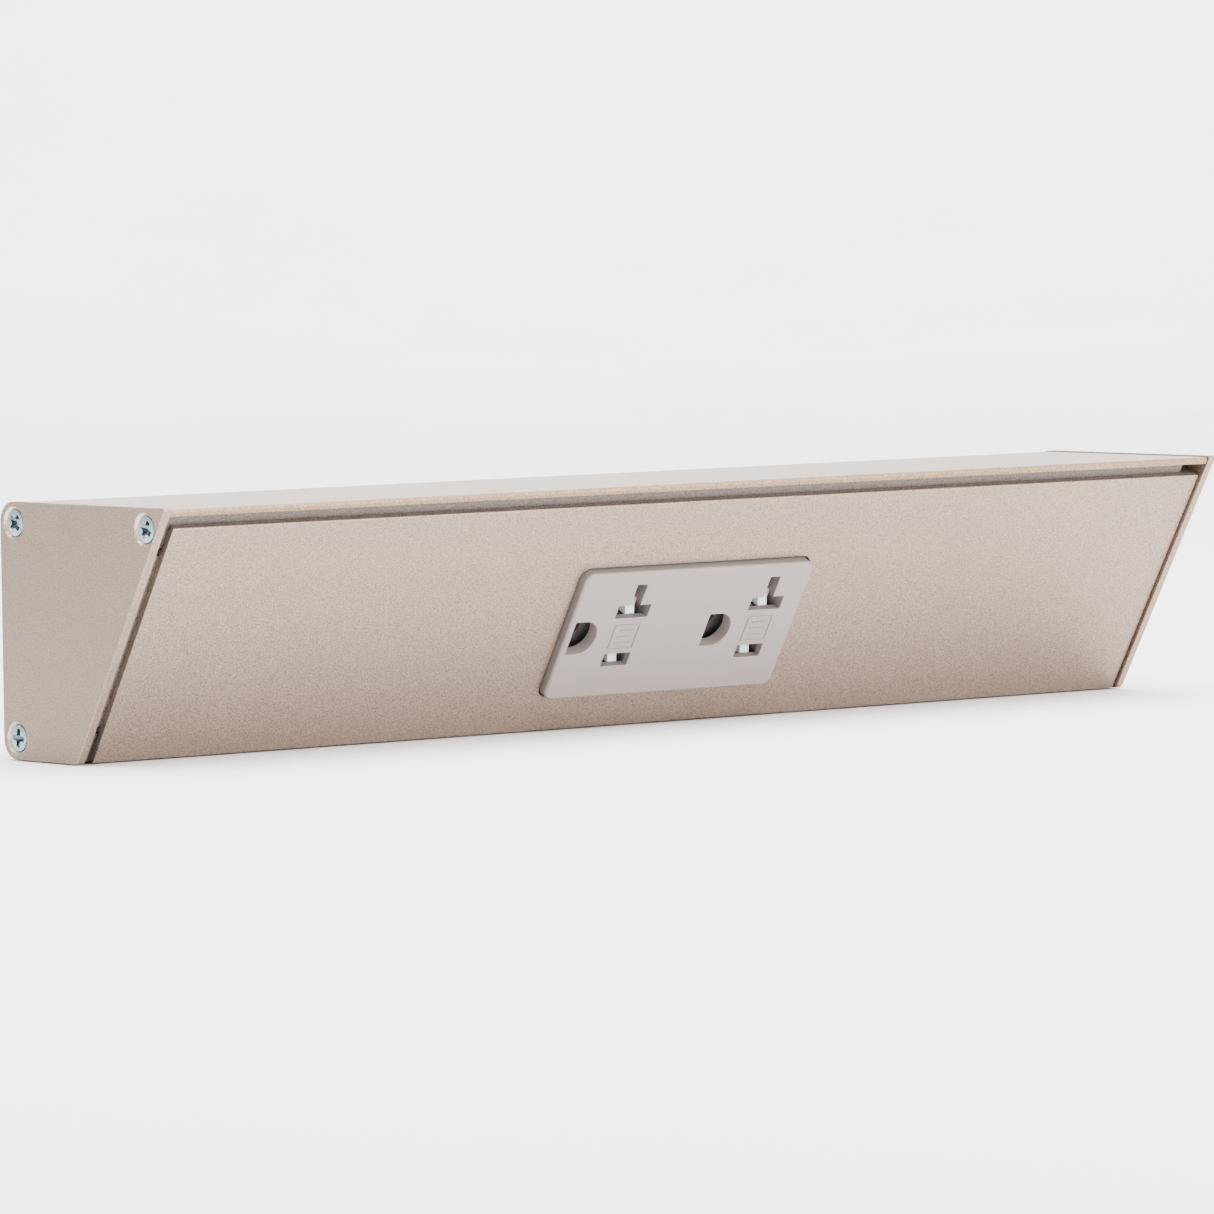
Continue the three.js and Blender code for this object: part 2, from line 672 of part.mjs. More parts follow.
function receptacleHousing() {
  const { halfU, halfV, front: outer, back, wall, chamfer } = HOUSING;
  const tub = (half, low, high) => outline([
    [-half, high],
    [-half, low + chamfer],
    [chamfer - half, low],
    [half - chamfer, low],
    [half, low + chamfer],
    [half, high],
  ]);
  const tray = cut(
    toSolid(sectionPrism(tub(halfV, back, outer), -halfU, halfU)),
    toSolid(sectionPrism(tub(halfV - wall, back + wall, outer + OVERCUT), wall - halfU, halfU - wall)),
  );
  const ribTop = CONTACT.top - 3;
  const ribs = BARRIERS.map(([low, high]) => (
    block([wall / 2 - halfU, low, back + wall / 2], [halfU - wall / 2, high, ribTop])
  ));
  const posts = postPlaces.map(([u, v]) => rod(POST.r, back + wall / 2, outer, 'z', [u, v, 0]));
  const bores = postPlaces.map(([u, v]) => (
    rod(POST.clearR, back - OVERCUT, outer + OVERCUT, 'z', [u, v, 0], 12)
  ));
  const sideHoles = [-1, 1].flatMap((side) => terminalUs.map((u) => {
    const edges = [side * (halfV - wall - OVERCUT), side * (halfV + OVERCUT)].sort((a, b) => a - b);
    return rod(TERMINAL.holeR, edges[0], edges[1], 'y', [u, 0, TERMINAL.w], 16);
  }));
  return cut(join(tray, ...ribs, ...posts), ...bores, ...sideHoles);
}

function housingScrew([u, v]) {
  const under = HOUSING.back - 0.2;
  const tip = faceInner - 2.2;
  const shank = POST.bore - 0.25;
  const profile = [
    [0, under - 1.2],
    [1.6, under - 1.2],
    [2.1, under - 0.8],
    [2.1, under],
    [shank, under],
    [shank, tip],
    [0, tip],
  ];
  return turned(profile, 'z', [u, v, 0], 16);
}

function leafPair(u, v, low, high, alongV = false) {
  const { gap, leaf, half } = CONTACT;
  return [-1, 1].map((side) => {
    const [near, far] = [side * gap, side * (gap + leaf)].sort((a, b) => a - b);
    return alongV
      ? block([u + near, v, low], [u + far, v + 2 * half - 1.2, high])
      : block([u - half, v + near, low], [u + half, v + far, high]);
  });
}

// Each live bus is one pressed strip: a floor strip, two leaf contacts and a terminal plate.
function bus(v, withStems) {
  const { top, floor, sheet, gap, leaf, half } = CONTACT;
  const { plate, halfU } = TERMINAL;
  const outward = Math.sign(v);
  const reach = gap + leaf;
  const under = floor - sheet;
  const strap = block([outletUs[0] - half, v - reach, under], [outletUs[1] + half, v + reach, floor]);
  const sides = [outward * plate, v].sort((a, b) => a - b);
  const arm = block([-halfU, sides[0], under], [halfU, sides[1], floor]);
  const ends = [outward * (plate - sheet), outward * plate].sort((a, b) => a - b);
  const upright = block([-halfU, ends[0], under], [halfU, ends[1], TERMINAL.w + 3.6]);
  const root = floor - sheet / 2;
  const contacts = outletUs.flatMap((u) => leafPair(u, v, root, top));
  const stems = withStems ? outletUs.flatMap((u) => leafPair(u, v + reach - 0.2, root, top, true)) : [];
  const threadR = TERMINAL.shankR + 0.15;
  const threads = terminalUs.map((u) => rod(threadR, -plate - 1, plate + 1, 'y', [u, 0, TERMINAL.w], 16));
  return cut(join(strap, arm, upright, ...contacts, ...stems), ...threads);
}

// The ground bus bridges both ground contacts and rises to the strap at one end.
function groundBus() {
  const { top, floor, sheet } = CONTACT;
  const { half, near, far, strip: narrow, beyond } = GROUND_CONTACT;
  const under = floor - sheet;
  const grounds = outletUs.map((u) => u + GROUND_OFFSET);
  const end = -HOUSING.halfU + HOUSING.wall + 0.4;
  const [low, high] = [BLADE_V - narrow, BLADE_V + narrow];
  const base = block([end, low, under], [grounds[1] + beyond, high, floor]);
  const riser = block([end, low, under], [end + sheet, high, top + 0.3]);
  const leaves = grounds.flatMap((u) => [-1, 1].map((side) => {
    const edges = [side * near, side * far].sort((a, b) => a - b);
    return block([u - half, BLADE_V + edges[0], floor - sheet / 2], [u + half, BLADE_V + edges[1], top]);
  }));
  const feet = grounds.map((u) => block([u - half, BLADE_V - far, under], [u + half, BLADE_V + far, floor]));
  return join(base, riser, ...leaves, ...feet);
}

function terminalScrew(side, u) {
  const { w, headR, head, shankR, plate } = TERMINAL;
  const under = HOUSING.halfV + 0.3;
  const along = (pairs) => (side > 0 ? pairs : pairs.map(([r, h]) => [r, -h]).reverse());
  const profile = along([
    [0, plate - 2.2],
    [shankR, plate - 2.2],
    [shankR, under],
    [headR, under],
    [headR, under + head - 0.5],
    [headR - 0.6, under + head],
    [0, under + head],
  ]);
  const top = side * (under + head);
  const driverSlot = block([u - headR, top - 0.7, w - 0.5], [u + headR, top + 0.7, w + 0.5]);
  return cut(turned(profile, 'y', [u, 0, w]), driverSlot);
}

function groundScrew() {
  const { place, headR, head, shankR } = GROUND_SCREW;
  const under = strapBack - 0.2;
  return join(
    turned([[0, under - head], [headR, under - head], [headR, under], [0, under]], 'z', [...place, 0], 6),
    rod(shankR, under - 0.2, STRAP.front + 1.2, 'z', [...place, 0], 12),
  );
}

add(front, 'receptacle_cover', receptacleCover(), ...GREY_PLASTIC);
shutterPlaces.forEach((place) => add(front, `shutter_${place.name}`, shutter(place), ...WHITE_PLASTIC));
shutterPlaces.forEach((place) => add(front, `spring_${place.name}`, shutterSpring(place), ...STEEL));
add(front, 'shutter_retainer', shutterRetainer(), ...GREY_PLASTIC);
add(front, 'mounting_strap', mountingStrap(), ...STEEL);
outletNames.forEach((name, i) => {
  add(front, `panel_standoff_${name}`, panelStandoff(strapScrewUs[i]), ...STEEL);
  add(front, `strap_screw_${name}`, strapScrew(strapScrewUs[i]), ...STEEL);
});
add(front, 'receptacle_housing', receptacleHousing(), ...DARK_PLASTIC);
postPlaces.forEach((place, i) => add(front, `housing_screw_${i + 1}`, housingScrew(place), ...STEEL));
add(front, 'hot_bus', bus(hotV, false), ...BRASS);
add(front, 'neutral_bus', bus(neutralV, true), ...BRASS);
add(front, 'ground_bus', groundBus(), ...BRASS);
outletNames.forEach((name, i) => {
  add(front, `hot_terminal_screw_${name}`, terminalScrew(-1, terminalUs[i]), ...BRASS);
  add(front, `neutral_terminal_screw_${name}`, terminalScrew(1, terminalUs[i]), ...STEEL);
});
add(front, 'ground_terminal_screw', groundScrew(), ...GREEN);

// ---------------------------------------------------------------- wiring compartment

// The bushing clips into the cable entry from inside, so the back face stays flat.
function cableBushing() {
  const { x, z, r } = ENTRY;
  const { bore, overlap, flange, gap } = BUSHING;
  const inside = -CHANNEL.wall - gap;
  const outside = -CHANNEL.endGap;
  const profile = [
    [bore, outside],
    [r - gap, outside],
    [r - gap, inside],
    [r + overlap, inside],
    [r + overlap, inside - flange],
    [bore, inside - flange],
    [bore, outside],
  ];
  return turned(profile, 'y', [x, 0, z], ROUND);
}

function chassisScrew() {
  const { x, z, shankR, headR, head } = CHASSIS_SCREW;
  const under = -CHANNEL.wall - 0.3;
  return join(
    turned([[0, under - head], [headR, under - head], [headR, under], [0, under]], 'y', [x, 0, z], 6),
    rod(shankR, under - 0.2, -0.2, 'y', [x, 0, z], 12),
  );
}

// A twist-on connector, its mouth towards the receptacle.
function wireConnector([y, z]) {
  const { x, length, mouthR, tipR, boreR, bore } = CONNECTOR;
  const tip = -length;
  return turned(
    [
      [0, tip],
      [tipR, tip],
      [tipR + 0.5, tip + 1],
      [mouthR - 0.6, -5],
      [mouthR, -4],
      [mouthR, 0],
      [boreR, 0],
      [boreR, -bore],
      [0, -bore],
    ],
    'x',
    [x, y, z],
    ROUND,
  );
}

function lead(points, steps) {
  const curve = new THREE.CatmullRomCurve3(points.map((point) => new THREE.Vector3(...point)));
  return swept(curve, LEAD_R, 8, steps);
}

// A point d along the axis of a connector from its mouth, shifted up by rise.
function inConnector(key, d, rise = 0) {
  const [y, z] = CONNECTORS[key];
  return [CONNECTOR.x - d, y, z + rise];
}

// The routes start at a terminal and run through hand-picked points into a connector.
function leads() {
  const [hot, neutral] = [-1, 1].map((side) => {
    const v = side * (HOUSING.halfV + 0.3 + LEAD_R);
    return frontToStrip(-TERMINAL.u - TERMINAL.headR - 0.5, v, TERMINAL.w).toArray();
  });
  const { place, headR } = GROUND_SCREW;
  const ground = frontToStrip(place[0] - headR - 0.5, place[1], strapBack - 0.5 - LEAD_R).toArray();
  const bondY = -CHANNEL.wall - 0.3 - LEAD_R;
  const bond = [CHASSIS_SCREW.x - CHASSIS_SCREW.headR - 0.5, bondY, CHASSIS_SCREW.z];
  const into = (key, before, rise = 0) => [
    inConnector(key, -before, rise),
    inConnector(key, CONNECTOR.lead, rise),
  ];
  const apart = LEAD_R + 0.4;
  return {
    hot: lead([hot, [-32, -16, -17], [-56, -17, -15.5], ...into('hot', 4)], 22),
    neutral: lead([neutral, [-32, -37, 20], [-56, -36, 16], ...into('neutral', 4)], 22),
    ground: lead([ground, [-50, -33, 6.5], [-60, -25, 4.5], ...into('ground', 3, apart)], 18),
    bond: lead([bond, [-55, -5, -8], [-62, -14, -3.5], ...into('ground', 3, -apart)], 18),
  };
}

add(strip, 'cable_bushing', cableBushing(), ...DARK_PLASTIC);
add(strip, 'chassis_ground_screw', chassisScrew(), ...GREEN);
const routes = leads();
add(strip, 'hot_lead', routes.hot, ...BLACK_INSULATION);
add(strip, 'neutral_lead', routes.neutral, ...WHITE_INSULATION);
add(strip, 'ground_lead', routes.ground, ...GREEN_INSULATION);
add(strip, 'bonding_lead', routes.bond, ...GREEN_INSULATION);
add(strip, 'wire_connector_hot', wireConnector(CONNECTORS.hot), ...RED_CONNECTOR);
add(strip, 'wire_connector_neutral', wireConnector(CONNECTORS.neutral), ...YELLOW_CONNECTOR);
add(strip, 'wire_connector_ground', wireConnector(CONNECTORS.ground), ...GREEN_CONNECTOR);

export default strip;
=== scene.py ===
"""Angled hard-wired power strip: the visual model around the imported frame.

Pieces are drawn in millimetres, in the row frame (+X along the strip, front towards -Y, +Z up,
origin at the centre of the back face) or in the slope frame (u along the strip, v up the slope,
w straight out of it, w = 0 at the end caps' front edges), and scaled to metres when finished.
"""

import json
import math

import bmesh
import bpy
from mathutils import Matrix, Vector


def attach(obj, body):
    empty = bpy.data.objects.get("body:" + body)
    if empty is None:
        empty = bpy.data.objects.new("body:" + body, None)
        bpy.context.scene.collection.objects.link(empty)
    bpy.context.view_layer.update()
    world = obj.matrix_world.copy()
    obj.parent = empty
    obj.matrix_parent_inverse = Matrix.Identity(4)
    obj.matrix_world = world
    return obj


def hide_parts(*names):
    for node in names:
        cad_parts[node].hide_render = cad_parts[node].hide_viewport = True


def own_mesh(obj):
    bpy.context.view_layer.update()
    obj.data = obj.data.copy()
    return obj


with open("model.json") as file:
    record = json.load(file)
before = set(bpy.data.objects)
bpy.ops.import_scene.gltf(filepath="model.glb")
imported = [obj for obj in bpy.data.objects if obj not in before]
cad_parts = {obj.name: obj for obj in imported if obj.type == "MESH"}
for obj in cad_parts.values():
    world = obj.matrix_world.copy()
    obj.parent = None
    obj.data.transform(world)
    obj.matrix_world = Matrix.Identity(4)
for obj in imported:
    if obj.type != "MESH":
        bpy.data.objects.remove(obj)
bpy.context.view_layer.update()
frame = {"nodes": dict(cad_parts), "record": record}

MM = 0.001
SHARP_ANGLE = 32

# ------------------------------------------------------------------ driving dimensions, mm

LENGTH = 304.8
HEIGHT = 55.7
TOP_DEPTH = 59.8
BOTTOM_DEPTH = 26.8

CAP_THICK = 2.0
CAP_BACK_R = 4.5
CAP_FRONT_TOP_R = 0.5
CAP_FRONT_BOTTOM_R = 2.0
CAP_EDGE_R = 0.3
CAP_SCREWS = ((-5.0, 23.2), (-52.3, 23.2), (-5.0, -23.2))
SCREW_TURNS = (0.75, 0.55, 0.1)
CAP_RIB_WIDTH = 4.0
CAP_RIB_CLEAR = 1.9
SCREW_HEAD_R = 2.85
SCREW_HOLE_R = 1.5
SCREW_SHANK_R = 1.05
SCREW_LENGTH = 12.0
SCREW_SUNK = 0.35
THREAD_PITCH = 1.05
CROSS_REACH = 2.05
CROSS_DEPTH = 1.4
COUNTERSINK_R = 3.45
COUNTERSINK_EASE = 0.15

WALL = 1.6
TOP_INSET = 0.3
END_GAP = 0.1
CHANNEL_BACK_R = 4.2
LIP_R = 0.6
LIP_BACK = 0.3
SEAT_FRONT = 2.6
SEAT_THICK = 1.2
SEAT_TOP_END = 11.8
SEAT_BOTTOM_START = 58.8
RELIEF_LENGTH = 4.8
RELIEF_FROM = 3.0
RELIEF_TO = 6.4
RELIEF_DEPTH = 6.9
INNER_EDGE_R = 0.15
OUTER_EDGE_R = 0.3
SHEET_EDGE_R = 0.12
HOLE_FLARE = 0.15
PORT_BACK_R = 3.1
PORT_FRONT_R = 2.9
PORT_BORE_R = 1.25
PORT_MOUTH = 1.4
PORT_WEB = 1.6
PORT_TRIM = (3.0, 12.0)
ENTRY_X = -105.0
ENTRY_Z = -2.0
ENTRY_R = 11.1
WALL_HOLE_X = 128.0
WALL_HOLE_R = 2.4
CHASSIS_HOLE = (-45.0, -8.0)
CHASSIS_HOLE_R = 2.0

PANEL_THICK = 1.5
PANEL_BACK = 0.8
PANEL_TOP_EDGE = 5.8
PANEL_BOTTOM_EDGE = 65.3
PANEL_LEFT_GAP = 2.85
PANEL_RIGHT_GAP = 0.3
PANEL_EDGE_R = 0.35
HOOK_THICK = 1.2
HOOK_CLEAR = 0.4
HOOK_REACH = 1.2
CUTOUT_GAP = 0.4

FACE_X = 4.4
FACE_S = 39.15
FACE_WIDTH = 66.2
FACE_HEIGHT = 33.0
FACE_CORNER_R = 2.2
FACE_EDGE_R = 0.65
FACE_PROUD = 1.2
FACE_THICK = 1.7
FACE_WALL = 1.6
FACE_BACK = -6.9
OUTLET_PITCH = 38.9
BLADE_U = 3.25
BLADE_V = -0.3
BLADE_SPACING = 12.7
GROUND_OFFSET = -11.9
HOT_SLOT_WIDTH = 7.6
BAR_WIDTH = 9.3
SLOT_HEIGHT = 3.3
STEM_WIDTH = 2.85
STEM_HEIGHT = 5.4
GROUND_FLAT = -3.5
GROUND_WIDTH = 7.2
GROUND_HEIGHT = 8.4
GROUND_DEPTH = 2.9
GROUND_COLLAR = 0.9
GUIDE_NEAR = 4.7
GUIDE_THICK = 0.8
GUIDE_BACK = -4.3
SPRING_SEAT_V = -1.7
POST_U = 29.4
POST_V = 12.7
POST_R = 2.3
POST_BORE_R = 1.15
LABEL_WIDTH = 7.2
LABEL_HEIGHT = 6.6
LABEL_LINE = 0.32
LABEL_RISE = 0.2
LABEL_DROP = 0.3
SLOT_CORNER_R = 0.2
STEM_COLLAR = 0.8
STEM_COLLAR_BACK = -2.6
STEM_COLLAR_CLEAR = 0.2

SHUTTER_HALF_U = 4.3
SHUTTER_HEIGHT = 4.3
SHUTTER_TOP = -3.3
SHUTTER_BOTTOM = -4.2
RIDGE_SHIFT = 1.0
RIDGE_HALF = 1.3
RIDGE_CREST = -0.7
RIDGE_TOE = -2.2
RIDGE_LANDING = 0.5
RIDGE_REST = 0.7
SPRING_R = 0.85
SPRING_WIRE = 0.12
SPRING_TURNS = 4
SPRING_W = -3.4
SPRING_CLEAR = 0.1

HALF_LENGTH = LENGTH / 2
HALF_HEIGHT = HEIGHT / 2
CAP_INNER = HALF_LENGTH - CAP_THICK
CHANNEL_TOP = HALF_HEIGHT - TOP_INSET
CHANNEL_INNER = CHANNEL_TOP - WALL
TILT = math.atan2(TOP_DEPTH - BOTTOM_DEPTH, HEIGHT)
SIN = math.sin(TILT)
COS = math.cos(TILT)
OVERCUT = 1.0
FACE_INNER = FACE_PROUD - FACE_THICK
OUTLETS = (("left", BLADE_U - OUTLET_PITCH / 2), ("right", BLADE_U + OUTLET_PITCH / 2))
NEUTRAL_V = BLADE_V + BLADE_SPACING / 2
HOT_V = BLADE_V - BLADE_SPACING / 2


def on_slope(s, d):
    """(y, z) of the section's point s down the slope from the front top corner and d behind it."""
    return (-TOP_DEPTH + s * SIN + d * COS, HALF_HEIGHT - s * COS + d * SIN)


def slope_at_level(d, z):
    """(y, z) where the plane d behind the slope meets the level z."""
    return on_slope((HALF_HEIGHT - z + d * SIN) / COS, d)


FACE_Y, FACE_Z = on_slope(FACE_S, 0)

# Columns are where the drawing's first, second and third coordinates point.
SECTION = Matrix(((0, 0, 1, 0), (1, 0, 0, 0), (0, 1, 0, 0), (0, 0, 0, 1)))
SLOPE = Matrix(((1, 0, 0, FACE_X), (0, -SIN, -COS, FACE_Y), (0, COS, -SIN, FACE_Z), (0, 0, 0, 1)))
SLOPE_SECTION = SLOPE @ SECTION
ALONG_Y = Matrix(((0, 1, 0, 0), (0, 0, 1, 0), (1, 0, 0, 0), (0, 0, 0, 1)))


# ------------------------------------------------------------------ outlines


def outline(corners, steps=8):
    """Points round corners given as (x, y) or (x, y, radius)."""
    points = []
    count = len(corners)
    for i, corner in enumerate(corners):
        here = Vector(corner[:2])
        radius = corner[2] if len(corner) > 2 else 0
        if not radius:
            points.append(here)
            continue
        before = (Vector(corners[i - 1][:2]) - here).normalized()
        after = (Vector(corners[(i + 1) % count][:2]) - here).normalized()
        half = math.acos(max(-1, min(1, before.dot(after)))) / 2
        centre = here + (before + after).normalized() * (radius / math.sin(half))
        first = here + before * (radius / math.tan(half)) - centre
        sweep = math.pi - 2 * half
        if before.x * after.y - before.y * after.x > 0:
            sweep = -sweep
        start = math.atan2(first.y, first.x)
        turns = max(2, math.ceil(abs(sweep) / (math.pi / 2) * steps))
        for k in range(turns + 1):
            angle = start + sweep * k / turns
            points.append(centre + radius * Vector((math.cos(angle), math.sin(angle))))
    return points


def rectangle(x0, y0, x1, y1, radius=0, steps=8):
    return outline([(x0, y0, radius), (x1, y0, radius), (x1, y1, radius), (x0, y1, radius)], steps)


def grown(points, distance):
    """The outline moved outwards by distance, or inwards where it is negative."""
    count = len(points)
    area = sum(points[i - 1].cross(points[i]) for i in range(count))
    side = 1 if area > 0 else -1
    moved = []
    for i, point in enumerate(points):
        back = (point - points[i - 1]).normalized()
        ahead = (points[(i + 1) % count] - point).normalized()
        normals = [Vector((d.y, -d.x)) * side for d in (back, ahead)]
        mitre = (normals[0] + normals[1]) / (1 + normals[0].dot(normals[1]))
        moved.append(point + mitre * distance)
    return moved


# ------------------------------------------------------------------ solids


def new_object(name, bm):
    bmesh.ops.remove_doubles(bm, verts=bm.verts, dist=1e-5)
    bmesh.ops.recalc_face_normals(bm, faces=bm.faces)
    mesh = bpy.data.meshes.new(name)
    bm.to_mesh(mesh)
    bm.free()
    obj = bpy.data.objects.new(name, mesh)
    bpy.context.scene.collection.objects.link(obj)
    return obj


def loft(loops, place):
    """A solid through loops of 3-D points, all with the same number of them."""
    bm = bmesh.new()
    rings = [[bm.verts.new(place @ Vector(point)) for point in loop] for loop in loops]
    count = len(rings[0])
    for low, high in zip(rings, rings[1:]):
        for i in range(count):
            bm.faces.new((low[i - 1], low[i], high[i], high[i - 1]))
    bm.faces.new(rings[0])
    bm.faces.new(rings[-1])
    return new_object("solid", bm)


def slab(points, low, high, place, low_edge=0.0, high_edge=0.0, steps=4):
    """A prism whose end edges can be rounded over."""
    loops = []
    ends = ((low, 1, low_edge, range(steps + 1)), (high, -1, high_edge, range(steps, -1, -1)))
    for level, inwards, edge, order in ends:
        if not edge:
            loops.append([(p.x, p.y, level) for p in points])
            continue
        for k in order:
            angle = k / steps * math.pi / 2
            height = edge * (1 - math.cos(angle))
            ring = grown(points, -edge * (1 - math.sin(angle)))
            loops.append([(p.x, p.y, level + inwards * height) for p in ring])
    return loft(loops, place)


def flared(points, low, surface, place, flare):
    """A cutter whose end at the surface flares out, so that the hole's edge is eased."""
    wide = grown(points, flare)
    loops = [
        [(p.x, p.y, low) for p in points],
        [(p.x, p.y, surface - flare) for p in points],
        [(p.x, p.y, surface - flare * 0.3) for p in grown(points, flare * 0.3)],
        [(p.x, p.y, surface) for p in wide],
        [(p.x, p.y, surface + OVERCUT) for p in wide],
    ]
    return loft(loops, place)


def block(low, high, place, edge=0.0):
    points = rectangle(low[0], low[1], high[0], high[1], edge, 3)
    return slab(points, low[2], high[2], place, edge, edge, 3)


def lathe(profile, place, centre=(0, 0), segments=64, hollow=False):
    """A turned solid from (radius, height) pairs that start and end on the axis.

    A hollow one is a ring, whose profile is a loop clear of the axis.
    """
    bm = bmesh.new()
    rings = []
    for radius, height in profile:
        if radius < 1e-6:
            rings.append([bm.verts.new(place @ Vector((centre[0], centre[1], height)))])
            continue
        ring = []
        for k in range(segments):
            angle = 2 * math.pi * k / segments
            x = centre[0] + radius * math.cos(angle)
            y = centre[1] + radius * math.sin(angle)
            ring.append(bm.verts.new(place @ Vector((x, y, height))))
        rings.append(ring)
    if hollow:
        rings.append(rings[0])
    for low, high in zip(rings, rings[1:]):
        for k in range(segments):
            face = [low[k - 1], low[k]] if len(low) > 1 else [low[0]]
            face += [high[k], high[k - 1]] if len(high) > 1 else [high[0]]
            if len(face) > 2:
                bm.faces.new(face)
    return new_object("solid", bm)


def rod(radius, low, high, place, centre=(0, 0), segments=32):
    return lathe([(0, low), (radius, low), (radius, high), (0, high)], place, centre, segments)


def tube_along(points, radius, sides):
    """A round wire through the points, with closed ends."""
    bm = bmesh.new()
    rings = []
    count = len(points)
    normal = Vector((1, 0, 0))
    for i, point in enumerate(points):
        ahead = (points[min(i + 1, count - 1)] - points[max(i - 1, 0)]).normalized()
        normal = (normal - ahead * normal.dot(ahead)).normalized()
        across = ahead.cross(normal)
        ring = []
        for k in range(sides):
            angle = 2 * math.pi * k / sides
            out = math.cos(angle) * normal + math.sin(angle) * across
            ring.append(bm.verts.new(point + radius * out))
        rings.append(ring)
    for low, high in zip(rings, rings[1:]):
        for k in range(sides):
            bm.faces.new((low[k - 1], low[k], high[k], high[k - 1]))
    bm.faces.new(rings[0])
    bm.faces.new(rings[-1])
    return new_object("solid", bm)


def bake(obj):
    """Works the object's modifiers into its mesh."""
    depsgraph = bpy.context.evaluated_depsgraph_get()
    mesh = bpy.data.meshes.new_from_object(obj.evaluated_get(depsgraph))
    obj.modifiers.clear()
    obj.data = mesh


def carve(base, joined=(), removed=()):
    """Joins solids to the base, then removes others from it."""
    for operation, pieces in (("UNION", joined), ("DIFFERENCE", removed)):
        for piece in pieces:
            modifier = base.modifiers.new(operation, "BOOLEAN")
            modifier.operation = operation
            modifier.solver = "MANIFOLD"
            modifier.object = piece
            piece.hide_render = True
    bake(base)
    for piece in (*joined, *removed):
        bpy.data.objects.remove(piece)
    return base


def paint(obj, finish, place, chosen):
    """Another material for the faces whose centre and normal, in the drawing frame, pass the test."""
    mesh = obj.data
    mesh.materials.append(MATERIALS[finish])
    to_drawing = place.inverted()
    for face in mesh.polygons:
        if chosen(to_drawing @ (face.center / MM), to_drawing.to_3x3() @ face.normal):
            face.material_index = len(mesh.materials) - 1


def finish_piece(obj, name, nodes, body, slot):
    """Names a piece, scales it to metres, shades it, and ties it to the frame."""
    mesh = obj.data
    obj.name = name
    mesh.name = name
    mesh.transform(Matrix.Scale(MM, 4))
    mesh.materials.clear()
    mesh.materials.append(MATERIALS[slot])
    mesh.shade_smooth()
    mesh.set_sharp_from_angle(angle=math.radians(SHARP_ANGLE))
    weighted = obj.modifiers.new("normals", "WEIGHTED_NORMAL")
    weighted.keep_sharp = True
    bake(obj)
    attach(obj, body)
    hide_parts(*nodes)
    return obj


# ------------------------------------------------------------------ materials

NOISE_LOW = 0.3
NOISE_HIGH = 0.7


def shader(name):
    material = bpy.data.materials.new(name)
    material.use_nodes = True
    tree = material.node_tree
    return material, tree, tree.nodes["Principled BSDF"]


def grain(tree, scale, detail=2.0, stretch=(1, 1, 1)):
    """Noise in the piece's own coordinates; scale is in features per metre."""
    coordinates = tree.nodes.new("ShaderNodeTexCoord")
    mapping = tree.nodes.new("ShaderNodeMapping")
    mapping.inputs["Scale"].default_value = stretch
    noise = tree.nodes.new("ShaderNodeTexNoise")
    noise.inputs["Scale"].default_value = scale
    noise.inputs["Detail"].default_value = detail
    tree.links.new(coordinates.outputs["Object"], mapping.inputs["Vector"])
    tree.links.new(mapping.outputs["Vector"], noise.inputs["Vector"])
    return noise.outputs["Fac"]


def ramp(tree, factor, low, high):
    """A colour from low to high over the noise's usual range."""
    node = tree.nodes.new("ShaderNodeValToRGB")
    node.color_ramp.elements[0].position = NOISE_LOW
    node.color_ramp.elements[1].position = NOISE_HIGH
    node.color_ramp.elements[0].color = (*low, 1)
    node.color_ramp.elements[1].color = (*high, 1)
    tree.links.new(factor, node.inputs["Fac"])
    return node.outputs["Color"]


def span(tree, factor, low, high):
    """A number from low to high over the noise's usual range."""
    node = tree.nodes.new("ShaderNodeMapRange")
    node.inputs["From Min"].default_value = NOISE_LOW
    node.inputs["From Max"].default_value = NOISE_HIGH
    node.inputs["To Min"].default_value = low
    node.inputs["To Max"].default_value = high
    tree.links.new(factor, node.inputs["Value"])
    return node.outputs["Result"]


def blended(tree, first, second, share):
    node = tree.nodes.new("ShaderNodeMix")
    node.data_type = "RGBA"
    node.inputs["Factor"].default_value = share
    tree.links.new(first, node.inputs["A"])
    tree.links.new(second, node.inputs["B"])
    return node.outputs["Result"]


def bumped(tree, bsdf, height, strength, distance):
    node = tree.nodes.new("ShaderNodeBump")
    node.inputs["Strength"].default_value = strength
    node.inputs["Distance"].default_value = distance
    tree.links.new(height, node.inputs["Height"])
    tree.links.new(node.outputs["Normal"], bsdf.inputs["Normal"])


def scaled(colour, factor):
    return tuple(min(1.0, channel * factor) for channel in colour)


def satin_nickel(name, colour, roughness=(0.38, 0.52)):
    """Aluminium in a satin nickel shade: a fine metallic sparkle and a slow cloudiness."""
    material, tree, bsdf = shader(name)
    fine = grain(tree, 2900, detail=1.0)
    coarse = grain(tree, 700)
    cloud = grain(tree, 26)
    sparkle = ramp(tree, fine, scaled(colour, 0.38), scaled(colour, 1.8))
    mottle = ramp(tree, coarse, scaled(colour, 0.78), scaled(colour, 1.22))
    drift = ramp(tree, cloud, scaled(colour, 0.97), scaled(colour, 1.03))
    mixed = blended(tree, sparkle, mottle, 0.25)
    tree.links.new(blended(tree, mixed, drift, 0.3), bsdf.inputs["Base Color"])
    tree.links.new(span(tree, fine, *roughness), bsdf.inputs["Roughness"])
    bumped(tree, bsdf, fine, strength=0.34, distance=0.07 * MM)
    bsdf.inputs["Metallic"].default_value = 0.82
    return material


